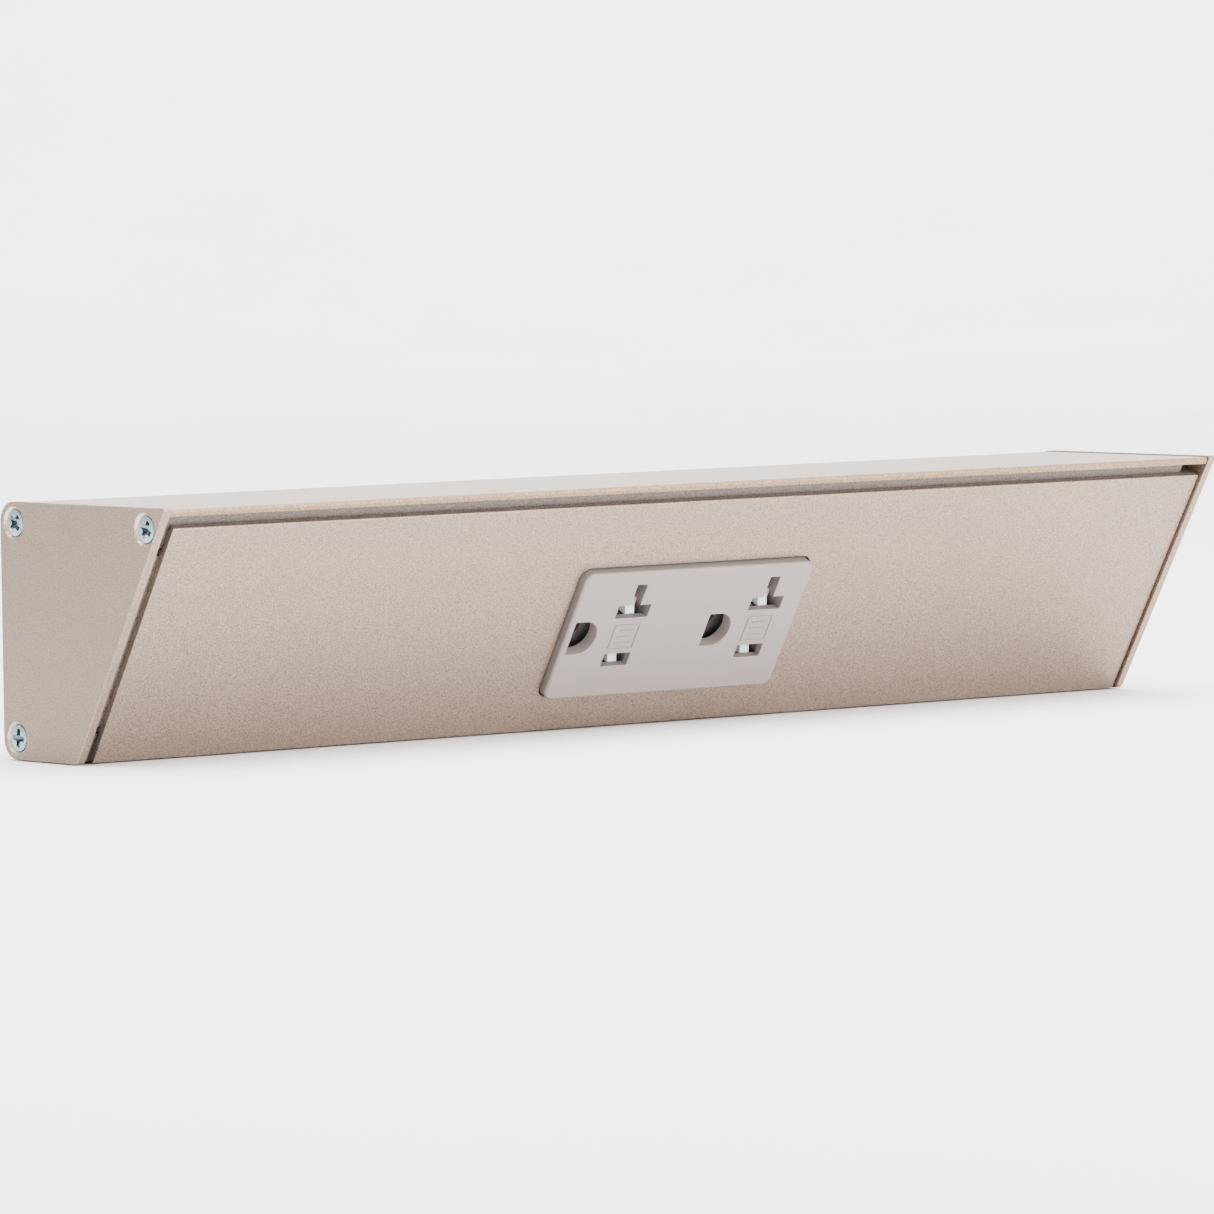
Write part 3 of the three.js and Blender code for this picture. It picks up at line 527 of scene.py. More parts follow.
def plated(name, colour, roughness=(0.22, 0.34)):
    """Plated or drawn metal with faint tool marks."""
    material, tree, bsdf = shader(name)
    marks = grain(tree, 1500, stretch=(1, 1, 4))
    film = grain(tree, 240)
    tone = ramp(tree, film, scaled(colour, 0.9), scaled(colour, 1.08))
    tree.links.new(tone, bsdf.inputs["Base Color"])
    tree.links.new(span(tree, marks, *roughness), bsdf.inputs["Roughness"])
    bumped(tree, bsdf, marks, strength=0.15, distance=0.05 * MM)
    bsdf.inputs["Metallic"].default_value = 1.0
    return material


def moulded(name, colour, roughness=(0.42, 0.52)):
    """Moulded plastic: a fine eroded texture and a slight unevenness of tone."""
    material, tree, bsdf = shader(name)
    skin = grain(tree, 4200)
    tone = grain(tree, 60)
    tint = ramp(tree, tone, scaled(colour, 0.975), scaled(colour, 1.02))
    speck = ramp(tree, skin, scaled(colour, 0.97), scaled(colour, 1.03))
    tree.links.new(blended(tree, tint, speck, 0.5), bsdf.inputs["Base Color"])
    tree.links.new(span(tree, skin, *roughness), bsdf.inputs["Roughness"])
    bumped(tree, bsdf, skin, strength=0.16, distance=0.04 * MM)
    return material


MATERIALS = {name: make(name, *values) for make, name, *values in (
    (satin_nickel, "satin_nickel", (0.272, 0.2, 0.158)),
    # Painted shade: a darker nickel for the channel's recessed seat and the panel's edge faces, where
    # shade falls.
    (satin_nickel, "nickel_recess", (0.165, 0.135, 0.117), (0.72, 0.82)),
    # Painted reflection: a warmer tan nickel for the lip's front face, standing in for the sheen it
    # catches.
    (satin_nickel, "nickel_lip", (0.265, 0.178, 0.115)),
    # Painted shade: a darker nickel for the end caps' flat outer faces.
    (satin_nickel, "nickel_end", (0.21, 0.156, 0.121)),
    # Painted highlight: a light nickel for the countersink cones and the front of the left cap's rib.
    (satin_nickel, "nickel_cut", (0.5, 0.42, 0.36), (0.3, 0.4)),
    # Painted shade: a darker zinc for the inside of the screws' cross recesses.
    (plated, "zinc_recess", (0.14, 0.19, 0.21)),
    # Painted shade: a darker grey for the receptacle's slot walls, inner parts and side walls.
    (moulded, "grey_inside", (0.15, 0.126, 0.119), (0.5, 0.6)),
    (moulded, "grey_retainer", (0.095, 0.083, 0.08), (0.5, 0.6)),
    (plated, "zinc_screws", (0.25, 0.33, 0.365)),
    (moulded, "receptacle_grey", (0.228, 0.188, 0.175)),
    (moulded, "shutter_white", (0.62, 0.62, 0.61)),
    (plated, "spring_steel", (0.55, 0.55, 0.56)),
    (moulded, "dark_plastic", (0.028, 0.028, 0.031)),
    (plated, "plated_steel", (0.58, 0.6, 0.62)),
    (plated, "brass", (0.72, 0.5, 0.2)),
    (plated, "green_screw", (0.04, 0.25, 0.09), (0.3, 0.42)),
    (moulded, "black_insulation", (0.012, 0.012, 0.013), (0.3, 0.4)),
    (moulded, "white_insulation", (0.8, 0.78, 0.73), (0.3, 0.4)),
    (moulded, "green_insulation", (0.02, 0.2, 0.06), (0.3, 0.4)),
    (moulded, "connector_red", (0.55, 0.04, 0.025)),
    (moulded, "connector_yellow", (0.7, 0.42, 0.05)),
    (moulded, "connector_green", (0.03, 0.27, 0.08)),
)}


# ------------------------------------------------------------------ channel, panel and end caps


def channel_outline():
    seat_back = SEAT_FRONT + SEAT_THICK
    inner_r = CHANNEL_BACK_R - WALL
    return outline([
        (*slope_at_level(LIP_BACK, CHANNEL_TOP), LIP_R),
        (*slope_at_level(LIP_BACK, CHANNEL_INNER), INNER_EDGE_R),
        (*slope_at_level(SEAT_FRONT, CHANNEL_INNER), INNER_EDGE_R),
        (*on_slope(SEAT_TOP_END, SEAT_FRONT), INNER_EDGE_R),
        (*on_slope(SEAT_TOP_END, seat_back), INNER_EDGE_R),
        slope_at_level(seat_back, CHANNEL_INNER),
        (-WALL, CHANNEL_INNER, inner_r),
        (-WALL, -CHANNEL_INNER, inner_r),
        slope_at_level(seat_back, -CHANNEL_INNER),
        (*on_slope(SEAT_BOTTOM_START, seat_back), INNER_EDGE_R),
        (*on_slope(SEAT_BOTTOM_START, SEAT_FRONT), INNER_EDGE_R),
        (*slope_at_level(SEAT_FRONT, -CHANNEL_TOP), OUTER_EDGE_R),
        (0, -CHANNEL_TOP, CHANNEL_BACK_R),
        (0, CHANNEL_TOP, CHANNEL_BACK_R),
    ])


def section_points(pairs):
    return [Vector(on_slope(s, d)) for s, d in pairs]


def screw_port(y, z, end):
    """A screw boss along the channel; the one at the front stops at the seat's face."""
    if y > -TOP_DEPTH / 2:
        boss = rod(PORT_BACK_R, -end, end, SECTION, (y, z))
        web = rectangle(y, z - PORT_WEB / 2, -WALL / 2, z + PORT_WEB / 2)
        return [boss, slab(web, -end, end, SECTION)]
    boss = rod(PORT_FRONT_R, -end, end, SECTION, (y, z))
    start, stop = PORT_TRIM
    within = SEAT_FRONT + SEAT_THICK / 4
    front = section_points([
        (start, -OVERCUT),
        (start, within),
        (stop, within),
        (stop, -OVERCUT),
    ])
    return [carve(boss, removed=[slab(front, -HALF_LENGTH, HALF_LENGTH, SECTION)])]


def port_bores(y, z):
    bores = [rod(PORT_BORE_R, -HALF_LENGTH, HALF_LENGTH, SECTION, (y, z), 24)]
    if y > -TOP_DEPTH / 2:
        mouth = rectangle(y - 2 * PORT_BACK_R, z - PORT_MOUTH / 2, y, z + PORT_MOUTH / 2)
        bores.append(slab(mouth, -HALF_LENGTH, HALF_LENGTH, SECTION))
    return bores


def back_hole(radius, x, z):
    """A cutter through the back wall with its outer edge eased."""
    deep = -WALL - OVERCUT
    profile = [
        (0, deep),
        (radius, deep),
        (radius, -HOLE_FLARE),
        (radius + HOLE_FLARE, 0),
        (radius + HOLE_FLARE, OVERCUT),
        (0, OVERCUT),
    ]
    return lathe(profile, ALONG_Y, (z, x), 48)


def body_channel():
    """The extrusion: screw ports along its whole length, and a notch in its upper seat at the right."""
    end = CAP_INNER - END_GAP
    relief = section_points([
        (RELIEF_FROM, SEAT_FRONT - OVERCUT),
        (RELIEF_FROM, RELIEF_DEPTH),
        (RELIEF_TO, RELIEF_DEPTH),
        (RELIEF_TO, SEAT_FRONT - OVERCUT),
    ])
    relief_cutter = slab(relief, end - RELIEF_LENGTH, end + OVERCUT, SECTION)
    above = rectangle(-TOP_DEPTH, CHANNEL_INNER - INNER_EDGE_R, 0, HALF_HEIGHT)
    carve(relief_cutter, removed=[slab(above, 0, HALF_LENGTH + OVERCUT, SECTION)])
    shell = slab(channel_outline(), -end, end, SECTION)
    ports = [solid for place in CAP_SCREWS for solid in screw_port(*place, end)]
    bores = [solid for place in CAP_SCREWS for solid in port_bores(*place)]
    holes = [
        back_hole(WALL_HOLE_R, -WALL_HOLE_X, 0),
        back_hole(WALL_HOLE_R, WALL_HOLE_X, 0),
        back_hole(ENTRY_R, ENTRY_X, ENTRY_Z),
        back_hole(CHASSIS_HOLE_R, *CHASSIS_HOLE),
    ]
    carve(shell, joined=ports, removed=[*bores, relief_cutter, *holes])
    channel = finish_piece(shell, "channel", ["body_channel"], "strip", "satin_nickel")
    seat_level = -SEAT_FRONT - 0.1
    below_lip = -LIP_BACK - 1

    def on_seat(at, out):
        return out.z > 0.3 and seat_level < at.z < below_lip

    def on_lip(at, out):
        return out.z > 0.05 and at.z > below_lip and at.y > 0

    # Painted shade: the recessed seat under the lip is darker.
    paint(channel, "nickel_recess", SLOPE, on_seat)
    # Painted reflection: the lip's front face gets the warmer tan nickel.
    paint(channel, "nickel_lip", SLOPE, on_lip)


def panel_outline():
    outer = -PANEL_BACK
    inner = outer - PANEL_THICK
    hook_in = -(SEAT_FRONT + SEAT_THICK + HOOK_CLEAR)
    hook_back = hook_in - HOOK_THICK
    top_stem = FACE_S - (SEAT_TOP_END + HOOK_CLEAR)
    low_stem = FACE_S - (SEAT_BOTTOM_START - HOOK_CLEAR)
    return outline([
        (FACE_S - PANEL_BOTTOM_EDGE, outer, PANEL_EDGE_R),
        (FACE_S - PANEL_BOTTOM_EDGE, inner, INNER_EDGE_R),
        (low_stem, inner),
        (low_stem, hook_in),
        (low_stem - HOOK_REACH, hook_in, INNER_EDGE_R),
        (low_stem - HOOK_REACH, hook_back, OUTER_EDGE_R),
        (low_stem + HOOK_THICK, hook_back, OUTER_EDGE_R),
        (low_stem + HOOK_THICK, inner),
        (top_stem - HOOK_THICK, inner),
        (top_stem - HOOK_THICK, hook_back, OUTER_EDGE_R),
        (top_stem + HOOK_REACH, hook_back, OUTER_EDGE_R),
        (top_stem + HOOK_REACH, hook_in, INNER_EDGE_R),
        (top_stem, hook_in),
        (top_stem, inner),
        (FACE_S - PANEL_TOP_EDGE, inner, INNER_EDGE_R),
        (FACE_S - PANEL_TOP_EDGE, outer, PANEL_EDGE_R),
    ], 6)


def front_panel():
    """The extruded panel, with hooks behind the channel's seats and the receptacle's opening."""
    low = -CAP_INNER + PANEL_LEFT_GAP - FACE_X
    high = CAP_INNER - PANEL_RIGHT_GAP - FACE_X
    half_u = FACE_WIDTH / 2 + CUTOUT_GAP
    half_v = FACE_HEIGHT / 2 + CUTOUT_GAP
    opening = rectangle(-half_u, -half_v, half_u, half_v, FACE_CORNER_R + CUTOUT_GAP)
    cutter = flared(opening, -PANEL_BACK - PANEL_THICK - OVERCUT, -PANEL_BACK, SLOPE, HOLE_FLARE)
    panel = slab(panel_outline(), low, high, SLOPE_SECTION, SHEET_EDGE_R, SHEET_EDGE_R, 3)
    carve(panel, removed=[cutter])
    piece = finish_piece(panel, "sloping_panel", ["front_panel"], "strip", "satin_nickel")
    # Painted shade: the panel's edge faces, those across the slope, are darker.
    paint(piece, "nickel_recess", SLOPE, lambda _, out: abs(out.z) < 0.1)


def end_frame(side, y, z, turn=0.0):
    """Drawing frame at an end cap's outer face, its third coordinate pointing out of the strip."""
    place = Matrix.Translation((side * HALF_LENGTH, y, z))
    out = Matrix(((0, 0, side, 0), (side, 0, 0, 0), (0, 1, 0, 0), (0, 0, 0, 1)))
    return place @ Matrix.Rotation(turn, 4, "X") @ out


def end_cap(side, name):
    """A plate with three countersunk holes; the left one has a rib in the gap beside the panel."""
    points = outline([
        (0, HALF_HEIGHT, CAP_BACK_R),
        (-TOP_DEPTH, HALF_HEIGHT, CAP_FRONT_TOP_R),
        (-BOTTOM_DEPTH, -HALF_HEIGHT, CAP_FRONT_BOTTOM_R),
        (0, -HALF_HEIGHT, CAP_BACK_R),
    ], 12)
    edges = (SHEET_EDGE_R, CAP_EDGE_R) if side > 0 else (CAP_EDGE_R, SHEET_EDGE_R)
    low, high = (CAP_INNER, HALF_LENGTH) if side > 0 else (-HALF_LENGTH, -CAP_INNER)
    plate = slab(points, low, high, SECTION, *edges, 5)
    deep = -CAP_THICK - OVERCUT
    rim = COUNTERSINK_R + COUNTERSINK_EASE
    sink = [
        (0, deep),
        (SCREW_HOLE_R, deep),
        (SCREW_HOLE_R, SCREW_HOLE_R - rim),
        (COUNTERSINK_R, COUNTERSINK_R - rim),
        (rim, 0),
        (rim, OVERCUT),
        (0, OVERCUT),
    ]
    holes = [lathe(sink, end_frame(side, y, z), segments=96) for y, z in CAP_SCREWS]
    ribs = []
    if side < 0:
        rib = section_points([
            (SEAT_TOP_END + CAP_RIB_CLEAR, SEAT_FRONT),
            (SEAT_TOP_END + CAP_RIB_CLEAR, SEAT_FRONT + SEAT_THICK),
            (SEAT_BOTTOM_START - CAP_RIB_CLEAR, SEAT_FRONT + SEAT_THICK),
            (SEAT_BOTTOM_START - CAP_RIB_CLEAR, SEAT_FRONT),
        ])
        ribs.append(slab(rib, high - 0.3, high + CAP_RIB_WIDTH, SECTION))
    carve(plate, joined=ribs, removed=holes)
    cap = finish_piece(plate, f"{name}_plate", [name], "strip", "satin_nickel")

    def on_cone(at, out):
        return at.xy.length < rim and 0.3 < out.z < 0.95

    def on_rib(at, out):
        return out.z > 0.9 and at.x > high + 0.1 - FACE_X

    # Painted shade: each cap's flat outer face is darker; its rounded edges keep the plain nickel.
    paint(cap, "nickel_end", end_frame(side, 0, 0), lambda _, out: out.z > 0.99)
    # Painted highlight: the countersink cones round the screws are lighter.
    for y, z in CAP_SCREWS:
        paint(cap, "nickel_cut", end_frame(side, y, z), on_cone)
    # Painted highlight: the front of the rib in the gap beside the panel is lighter.
    if side < 0:
        paint(cap, "nickel_cut", SLOPE, on_rib)


def cross_recess(place):
    """A cross recess: four wings that taper with depth, each with its outer corners cut off."""
    ease = 0.12
    levels = (
        (0.3, CROSS_REACH + 0.08, 0.62),
        (0.0, CROSS_REACH, 0.6),
        (-0.7, 1.5, 0.5),
        (-CROSS_DEPTH, 0.6, 0.3),
    )
    loops = []
    for height, reach, half in levels:
        star = []
        for quarter in range(4):
            turn = Matrix.Rotation(quarter * math.pi / 2, 2)
            wing = (
                (half * 1.5, half),
                (reach - ease, half),
                (reach, half * 0.6),
                (reach, -half * 0.6),
                (reach - ease, -half),
                (half * 1.5, -half),
            )
            star += [turn @ Vector((x, -y)) for x, y in wing]
        loops.append([(p.x, p.y, height) for p in star])
    return loft(loops, place)


def cap_screw(side, end_name, number):
    """A flat-head screw: its thread is a row of rings, and its cross is turned by its own angle."""
    y, z = CAP_SCREWS[number]
    place = end_frame(side, y, z, SCREW_TURNS[number])
    top = -SCREW_SUNK
    crown = 0.05
    thread_root = 0.8 * SCREW_SHANK_R
    thread_crest = 1.1 * SCREW_SHANK_R
    thread_start = 1.2 - SCREW_LENGTH
    profile = [
        (0, -SCREW_LENGTH),
        (0.5 * SCREW_SHANK_R, -SCREW_LENGTH),
        (0.72 * SCREW_SHANK_R, thread_start - 0.2),
    ]
    for k in range(int((SCREW_LENGTH - SCREW_HEAD_R - 1.6) / THREAD_PITCH)):
        foot = thread_start + k * THREAD_PITCH
        profile += [(thread_root, foot), (thread_crest, foot + 0.4), (thread_root, foot + 0.8)]
    profile += [
        (SCREW_SHANK_R, top - SCREW_HEAD_R + SCREW_SHANK_R),
        (SCREW_HEAD_R - 0.04, top - 0.2),
        (SCREW_HEAD_R, top - 0.14),
        (SCREW_HEAD_R - 0.05, top - 0.05),
        (SCREW_HEAD_R - 0.2, top),
        (SCREW_HEAD_R * 0.6, top + crown * 0.6),
        (0, top + crown),
    ]
    screw = lathe(profile, place, segments=48)
    carve(screw, removed=[cross_recess(place @ Matrix.Translation((0, 0, top)))])
    node = f"end_cap_screw_{end_name}_{number + 1}"
    head = finish_piece(screw, f"cap_screw_{end_name}_{number + 1}", [node], "strip", "zinc_screws")

    def in_cross(at, _):
        return at.to_2d().length < CROSS_REACH and -CROSS_DEPTH - 0.1 < at.z - top < -0.04

    # Painted shade: the cross recess is darker than the head.
    paint(head, "zinc_recess", place, in_cross)


# ------------------------------------------------------------------ receptacle


def ground_outline(u, grow=0.0):
    half = GROUND_HEIGHT / 2 + grow
    left = u + GROUND_FLAT - grow
    right = left + GROUND_WIDTH + 2 * grow
    return outline([
        (left, BLADE_V - half, 0.25),
        (right, BLADE_V - half, half * 0.98),
        (right, BLADE_V + half, half * 0.98),
        (left, BLADE_V + half, 0.25),
    ], 12)


def hot_outline(u):
    half = HOT_SLOT_WIDTH / 2
    low = HOT_V - SLOT_HEIGHT / 2
    return rectangle(u - half, low, u + half, low + SLOT_HEIGHT, SLOT_CORNER_R, 3)


def neutral_outline(u):
    top = NEUTRAL_V + SLOT_HEIGHT / 2
    low = NEUTRAL_V - SLOT_HEIGHT / 2
    bar = BAR_WIDTH / 2
    stem = STEM_WIDTH / 2
    return outline([
        (u - bar, low, SLOT_CORNER_R),
        (u + bar, low, SLOT_CORNER_R),
        (u + bar, top, SLOT_CORNER_R),
        (u + stem, top),
        (u + stem, top + STEM_HEIGHT, SLOT_CORNER_R),
        (u - stem, top + STEM_HEIGHT, SLOT_CORNER_R),
        (u - stem, top),
        (u - bar, top, SLOT_CORNER_R),
    ], 3)


def label_ridges(u):
    """A blank raised frame with plain ridges between an outlet's two blade slots."""
    rise = FACE_PROUD + LABEL_RISE
    sunk = FACE_PROUD - 0.3
    half_u = LABEL_WIDTH / 2
    half_v = LABEL_HEIGHT / 2
    middle = BLADE_V - LABEL_DROP
    frame_line = rectangle(u - half_u, middle - half_v, u + half_u, middle + half_v, 0.3, 3)
    border = slab(frame_line, sunk, rise, SLOPE)
    inner_u = half_u - LABEL_LINE
    inner_v = half_v - LABEL_LINE
    window = rectangle(u - inner_u, middle - inner_v, u + inner_u, middle + inner_v, 0.2, 3)
    carve(border, removed=[slab(window, sunk - OVERCUT, rise + OVERCUT, SLOPE)])
    ridges = [border]
    for row in (-1, 0, 1):
        level = middle + row * LABEL_HEIGHT / 4
        reach = inner_u * 0.6
        ridge = rectangle(u - reach, level - LABEL_LINE / 2, u + reach, level + LABEL_LINE / 2)
        ridges.append(slab(ridge, sunk, rise, SLOPE))
    return ridges


def receptacle_cover():
    """The face with its slots and ground holes, and the collars, guides, seats and posts behind it."""
    half_u = FACE_WIDTH / 2
    half_v = FACE_HEIGHT / 2
    face = rectangle(-half_u, -half_v, half_u, half_v, FACE_CORNER_R, 10)
    shell = slab(face, FACE_BACK, FACE_PROUD, SLOPE, 0.1, FACE_EDGE_R, 7)
    hollow = grown(face, -FACE_WALL)
    carve(shell, removed=[slab(hollow, FACE_BACK - OVERCUT, FACE_INNER, SLOPE)])
    joined = []
    removed = []
    ground_back = FACE_PROUD - GROUND_DEPTH
    slot_back = STEM_COLLAR_BACK - OVERCUT
    collar_u = STEM_WIDTH / 2 + STEM_COLLAR
    collar_low = NEUTRAL_V + SHUTTER_HEIGHT / 2 + STEM_COLLAR_CLEAR
    collar_high = NEUTRAL_V + SLOT_HEIGHT / 2 + STEM_HEIGHT + STEM_COLLAR
    for _, u in OUTLETS:
        collar = ground_outline(u + GROUND_OFFSET, GROUND_COLLAR)
        hole = ground_outline(u + GROUND_OFFSET)
        joined.append(slab(collar, ground_back, FACE_INNER + 0.2, SLOPE))
        removed.append(flared(hole, ground_back - OVERCUT, FACE_PROUD, SLOPE, 0.16))
        removed.append(flared(hot_outline(u), slot_back, FACE_PROUD, SLOPE, 0.14))
        removed.append(flared(neutral_outline(u), slot_back, FACE_PROUD, SLOPE, 0.14))
        stem_low = (u - collar_u, collar_low, STEM_COLLAR_BACK)
        stem_high = (u + collar_u, collar_high, FACE_INNER + 0.1)
        joined.append(block(stem_low, stem_high, SLOPE))
        for side in (-1, 1):
            near, far = sorted((u + side * GUIDE_NEAR, u + side * (GUIDE_NEAR + GUIDE_THICK)))
            rail_end = half_v - FACE_WALL / 2
            joined.append(block((near, -rail_end, GUIDE_BACK), (far, rail_end, FACE_INNER + 0.2), SLOPE))
        seat_low = (u - GUIDE_NEAR - 0.1, SPRING_SEAT_V - GUIDE_THICK, GUIDE_BACK + 0.05)
        seat_high = (u + GUIDE_NEAR + 0.1, SPRING_SEAT_V, FACE_INNER + 0.15)
        joined.append(block(seat_low, seat_high, SLOPE))
        joined += label_ridges(u)
    for u in (-POST_U, POST_U):
        for v in (-POST_V, POST_V):
            joined.append(rod(POST_R, FACE_BACK, FACE_INNER + 0.2, SLOPE, (u, v)))
            removed.append(rod(POST_BORE_R, FACE_BACK - OVERCUT, FACE_INNER - 0.8, SLOPE, (u, v), 24))
    carve(shell, joined=joined, removed=removed)
    cover = finish_piece(shell, "receptacle_face", ["receptacle_cover"], "strip", "receptacle_grey")
    edge = FACE_PROUD - FACE_EDGE_R - 0.01

    def in_ground_hole(at):
        along = min(abs(at.x - u - GROUND_OFFSET) for _, u in OUTLETS)
        return along < GROUND_WIDTH / 2 + 0.5 and abs(at.y - BLADE_V) < GROUND_HEIGHT / 2 + 0.3

    # Painted shade: faces below the face's rounded edge are darker (slot walls, collars, guides, posts
    # and the cover's sides); the ground holes keep the plain grey.
    paint(cover, "grey_inside", SLOPE, lambda at, _: at.z < edge and not in_ground_hole(at))


def shutter(pole, side, u, v):
    """A white slide with a ramped ridge that the blade pushes down the slope."""
    low = v - SHUTTER_HEIGHT / 2
    high = v + SHUTTER_HEIGHT / 2
    back_corner = (u - SHUTTER_HALF_U, low, SHUTTER_BOTTOM)
    slide = block(back_corner, (u + SHUTTER_HALF_U, high, SHUTTER_TOP), SLOPE, 0.2)
    ramp_end = high - RIDGE_REST
    ramp_points = outline([
        (low, SHUTTER_TOP - 0.3),
        (ramp_end, SHUTTER_TOP - 0.3),
        (ramp_end, RIDGE_TOE),
        (low + RIDGE_LANDING, RIDGE_CREST, 0.2),
        (low, RIDGE_CREST, 0.12),
    ], 4)
    middle = u + RIDGE_SHIFT
    ridge = slab(ramp_points, middle - RIDGE_HALF, middle + RIDGE_HALF, SLOPE_SECTION, 0.12, 0.12, 3)
    carve(slide, joined=[ridge])
    node = f"shutter_{pole}_{side}"
    finish_piece(slide, f"{pole}_shutter_{side}", [node], node, "shutter_white")


def shutter_spring(pole, side, u, v, seat):
    """A coil between the shutter at v and its seat."""
    clear = SPRING_WIRE + SPRING_CLEAR
    start = v - SHUTTER_HEIGHT / 2 - clear
    length = start - seat - clear
    steps = 24 * SPRING_TURNS
    points = []
    for k in range(steps + 1):
        angle = 2 * math.pi * SPRING_TURNS * k / steps
        across = SPRING_R * math.cos(angle)
        deep = SPRING_R * math.sin(angle)
        points.append(SLOPE @ Vector((u + across, start - length * k / steps, SPRING_W + deep)))
    spring = tube_along(points, SPRING_WIRE, 10)
    finish_piece(spring, f"{pole}_spring_{side}", [f"spring_{pole}_{side}"], "strip", "spring_steel")
    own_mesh(spring)


# ------------------------------------------------------------------ what shows through the back


def cable_bushing():
    """A snap-in bushing: a ring with a rounded bore and a flange inside the wall."""
    inside = -WALL - 0.3
    bore = 7.6
    rim = ENTRY_R - 0.3
    flange = ENTRY_R + 2.4
    back = inside - 2.4
    profile = [
        (bore + 0.5, -0.1),
        (bore + 0.15, -0.25),
        (bore, -0.6),
        (bore, back + 0.6),
        (bore + 0.6, back),
        (flange - 0.5, back),
        (flange, back + 0.5),
        (flange, inside),
        (rim, inside),
        (rim, -0.4),
        (rim - 0.3, -0.1),
    ]
    ring = lathe(profile, ALONG_Y, (ENTRY_Z, ENTRY_X), 96, hollow=True)
    finish_piece(ring, "entry_bushing", ["cable_bushing"], "strip", "dark_plastic")


# ------------------------------------------------------------------ build

body_channel()
front_panel()
for cap_side, cap_name in ((-1, "end_cap_left"), (1, "end_cap_right")):
    end_cap(cap_side, cap_name)
    for screw_number in range(len(CAP_SCREWS)):
        cap_screw(cap_side, cap_name.removeprefix("end_cap_"), screw_number)
receptacle_cover()
for outlet_side, outlet_u in OUTLETS:
    shutter("neutral", outlet_side, outlet_u, NEUTRAL_V)
    shutter("hot", outlet_side, outlet_u, HOT_V)
    shutter_spring("neutral", outlet_side, outlet_u, NEUTRAL_V, SPRING_SEAT_V)
    shutter_spring("hot", outlet_side, outlet_u, HOT_V, FACE_WALL - FACE_HEIGHT / 2)
cable_bushing()

# The CAD nodes that stay as they are get their finishes here.
INSIDE_FINISH = {"shutter_retainer": "grey_retainer"}
for subpart in frame["record"]["subparts"]:
    carried = frame["nodes"][subpart["node"]]
    finish_name = INSIDE_FINISH.get(subpart["node"], subpart["material_slot"])
    carried.data.materials.clear()
    carried.data.materials.append(MATERIALS[finish_name])


# ------------------------------------------------------------------ floor, light and camera, metres

FLOOR_Z = -0.0281
FLOOR_R = 2.6
CURVE_R = 0.9
RIM_Z = 2.2

CAMERA_LENS = 248.6
CAMERA_DISTANCE = 1.9048
CAMERA_AIM = (0.00998, -0.00843, -0.00257)
CAMERA_AZIMUTH = 39.541
CAMERA_ELEVATION = 3.402
CAMERA_ROLL = -0.774


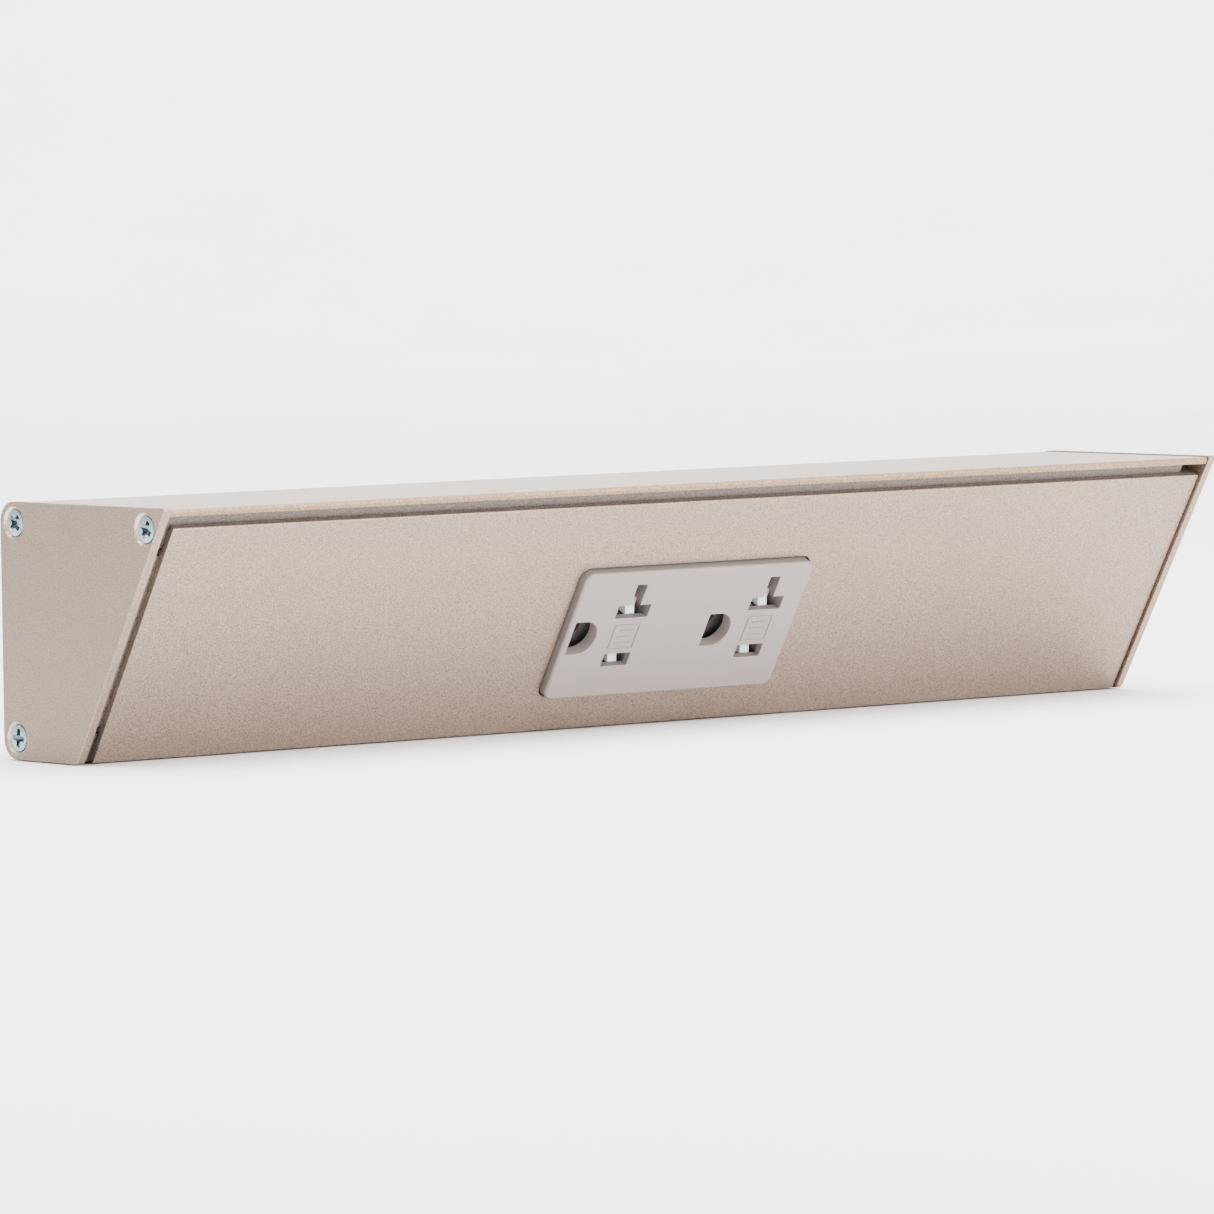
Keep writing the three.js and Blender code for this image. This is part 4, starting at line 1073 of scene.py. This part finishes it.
def floor():
    """A flat pale floor that turns up into a round backdrop, the same from every side.

    The rings inside the curve keep the smooth shading flat around the strip.
    """
    profile = [(0.6, 0.0), (1.6, 0.0), (FLOOR_R, 0.0)]
    steps = 16
    for k in range(1, steps + 1):
        angle = k / steps * math.pi / 2
        profile.append((FLOOR_R + CURVE_R * math.sin(angle), CURVE_R * (1 - math.cos(angle))))
    profile.append((FLOOR_R + CURVE_R, RIM_Z))
    bm = bmesh.new()
    segments = 96
    rings = [[bm.verts.new((0, 0, FLOOR_Z))]]
    for radius, height in profile:
        ring = []
        for k in range(segments):
            angle = 2 * math.pi * k / segments
            x = radius * math.cos(angle)
            y = radius * math.sin(angle)
            ring.append(bm.verts.new((x, y, FLOOR_Z + height)))
        rings.append(ring)
    for low, high in zip(rings, rings[1:]):
        for k in range(segments):
            start = [low[k - 1], low[k]] if len(low) > 1 else [low[0]]
            bm.faces.new([*start, high[k], high[k - 1]])
    mesh = bpy.data.meshes.new("floor")
    bm.to_mesh(mesh)
    bm.free()
    mesh.shade_smooth()
    material, tree, bsdf = shader("pale_floor")
    tone = ramp(tree, grain(tree, 8), (0.86, 0.86, 0.86), (0.89, 0.89, 0.89))
    tree.links.new(tone, bsdf.inputs["Base Color"])
    bsdf.inputs["Roughness"].default_value = 0.85
    bsdf.inputs["Specular IOR Level"].default_value = 0.1
    mesh.materials.append(material)
    obj = bpy.data.objects.new("floor", mesh)
    bpy.context.scene.collection.objects.link(obj)


def area_light(name, place, target, size, power):
    light = bpy.data.lights.new(name, "AREA")
    light.shape = "RECTANGLE"
    light.size, light.size_y = size
    light.energy = power
    obj = bpy.data.objects.new(name, light)
    obj.location = place
    obj.rotation_euler = (Vector(target) - Vector(place)).to_track_quat("-Z", "Y").to_euler()
    bpy.context.scene.collection.objects.link(obj)


def studio():
    world = bpy.data.worlds.new("studio")
    world.use_nodes = True
    background = world.node_tree.nodes["Background"]
    background.inputs["Color"].default_value = (1.0, 1.0, 1.0, 1)
    background.inputs["Strength"].default_value = 0.95
    bpy.context.scene.world = world
    area_light("overhead", (0.1, -0.2, 1.7), (0, 0, 0), (2.0, 2.0), 190)
    area_light("backdrop", (1.5, 1.7, 1.9), (2.3, 2.8, 0.5), (2.0, 0.8), 120)
    area_light("front", (0.7, -1.9, 0.3), (0, 0, 0), (1.6, 0.5), 55)


def camera():
    """A long lens from the front left and a little above, rolled slightly."""
    azimuth = math.radians(CAMERA_AZIMUTH)
    elevation = math.radians(CAMERA_ELEVATION)
    roll = math.radians(CAMERA_ROLL)
    level = math.cos(elevation)
    forward = Vector((level * math.sin(azimuth), level * math.cos(azimuth), -math.sin(elevation)))
    across = Vector((math.cos(azimuth), -math.sin(azimuth), 0))
    right = across * math.cos(roll) + across.cross(forward) * math.sin(roll)
    rotation = Matrix((right, right.cross(forward), -forward)).transposed()
    data = bpy.data.cameras.new("camera")
    data.sensor_width = 36.0
    data.lens = CAMERA_LENS
    data.clip_start = 0.05
    data.clip_end = 20.0
    obj = bpy.data.objects.new("camera", data)
    place = Vector(CAMERA_AIM) - forward * CAMERA_DISTANCE
    obj.matrix_world = Matrix.Translation(place) @ rotation.to_4x4()
    bpy.context.scene.collection.objects.link(obj)
    bpy.context.scene.camera = obj


floor()
studio()
camera()
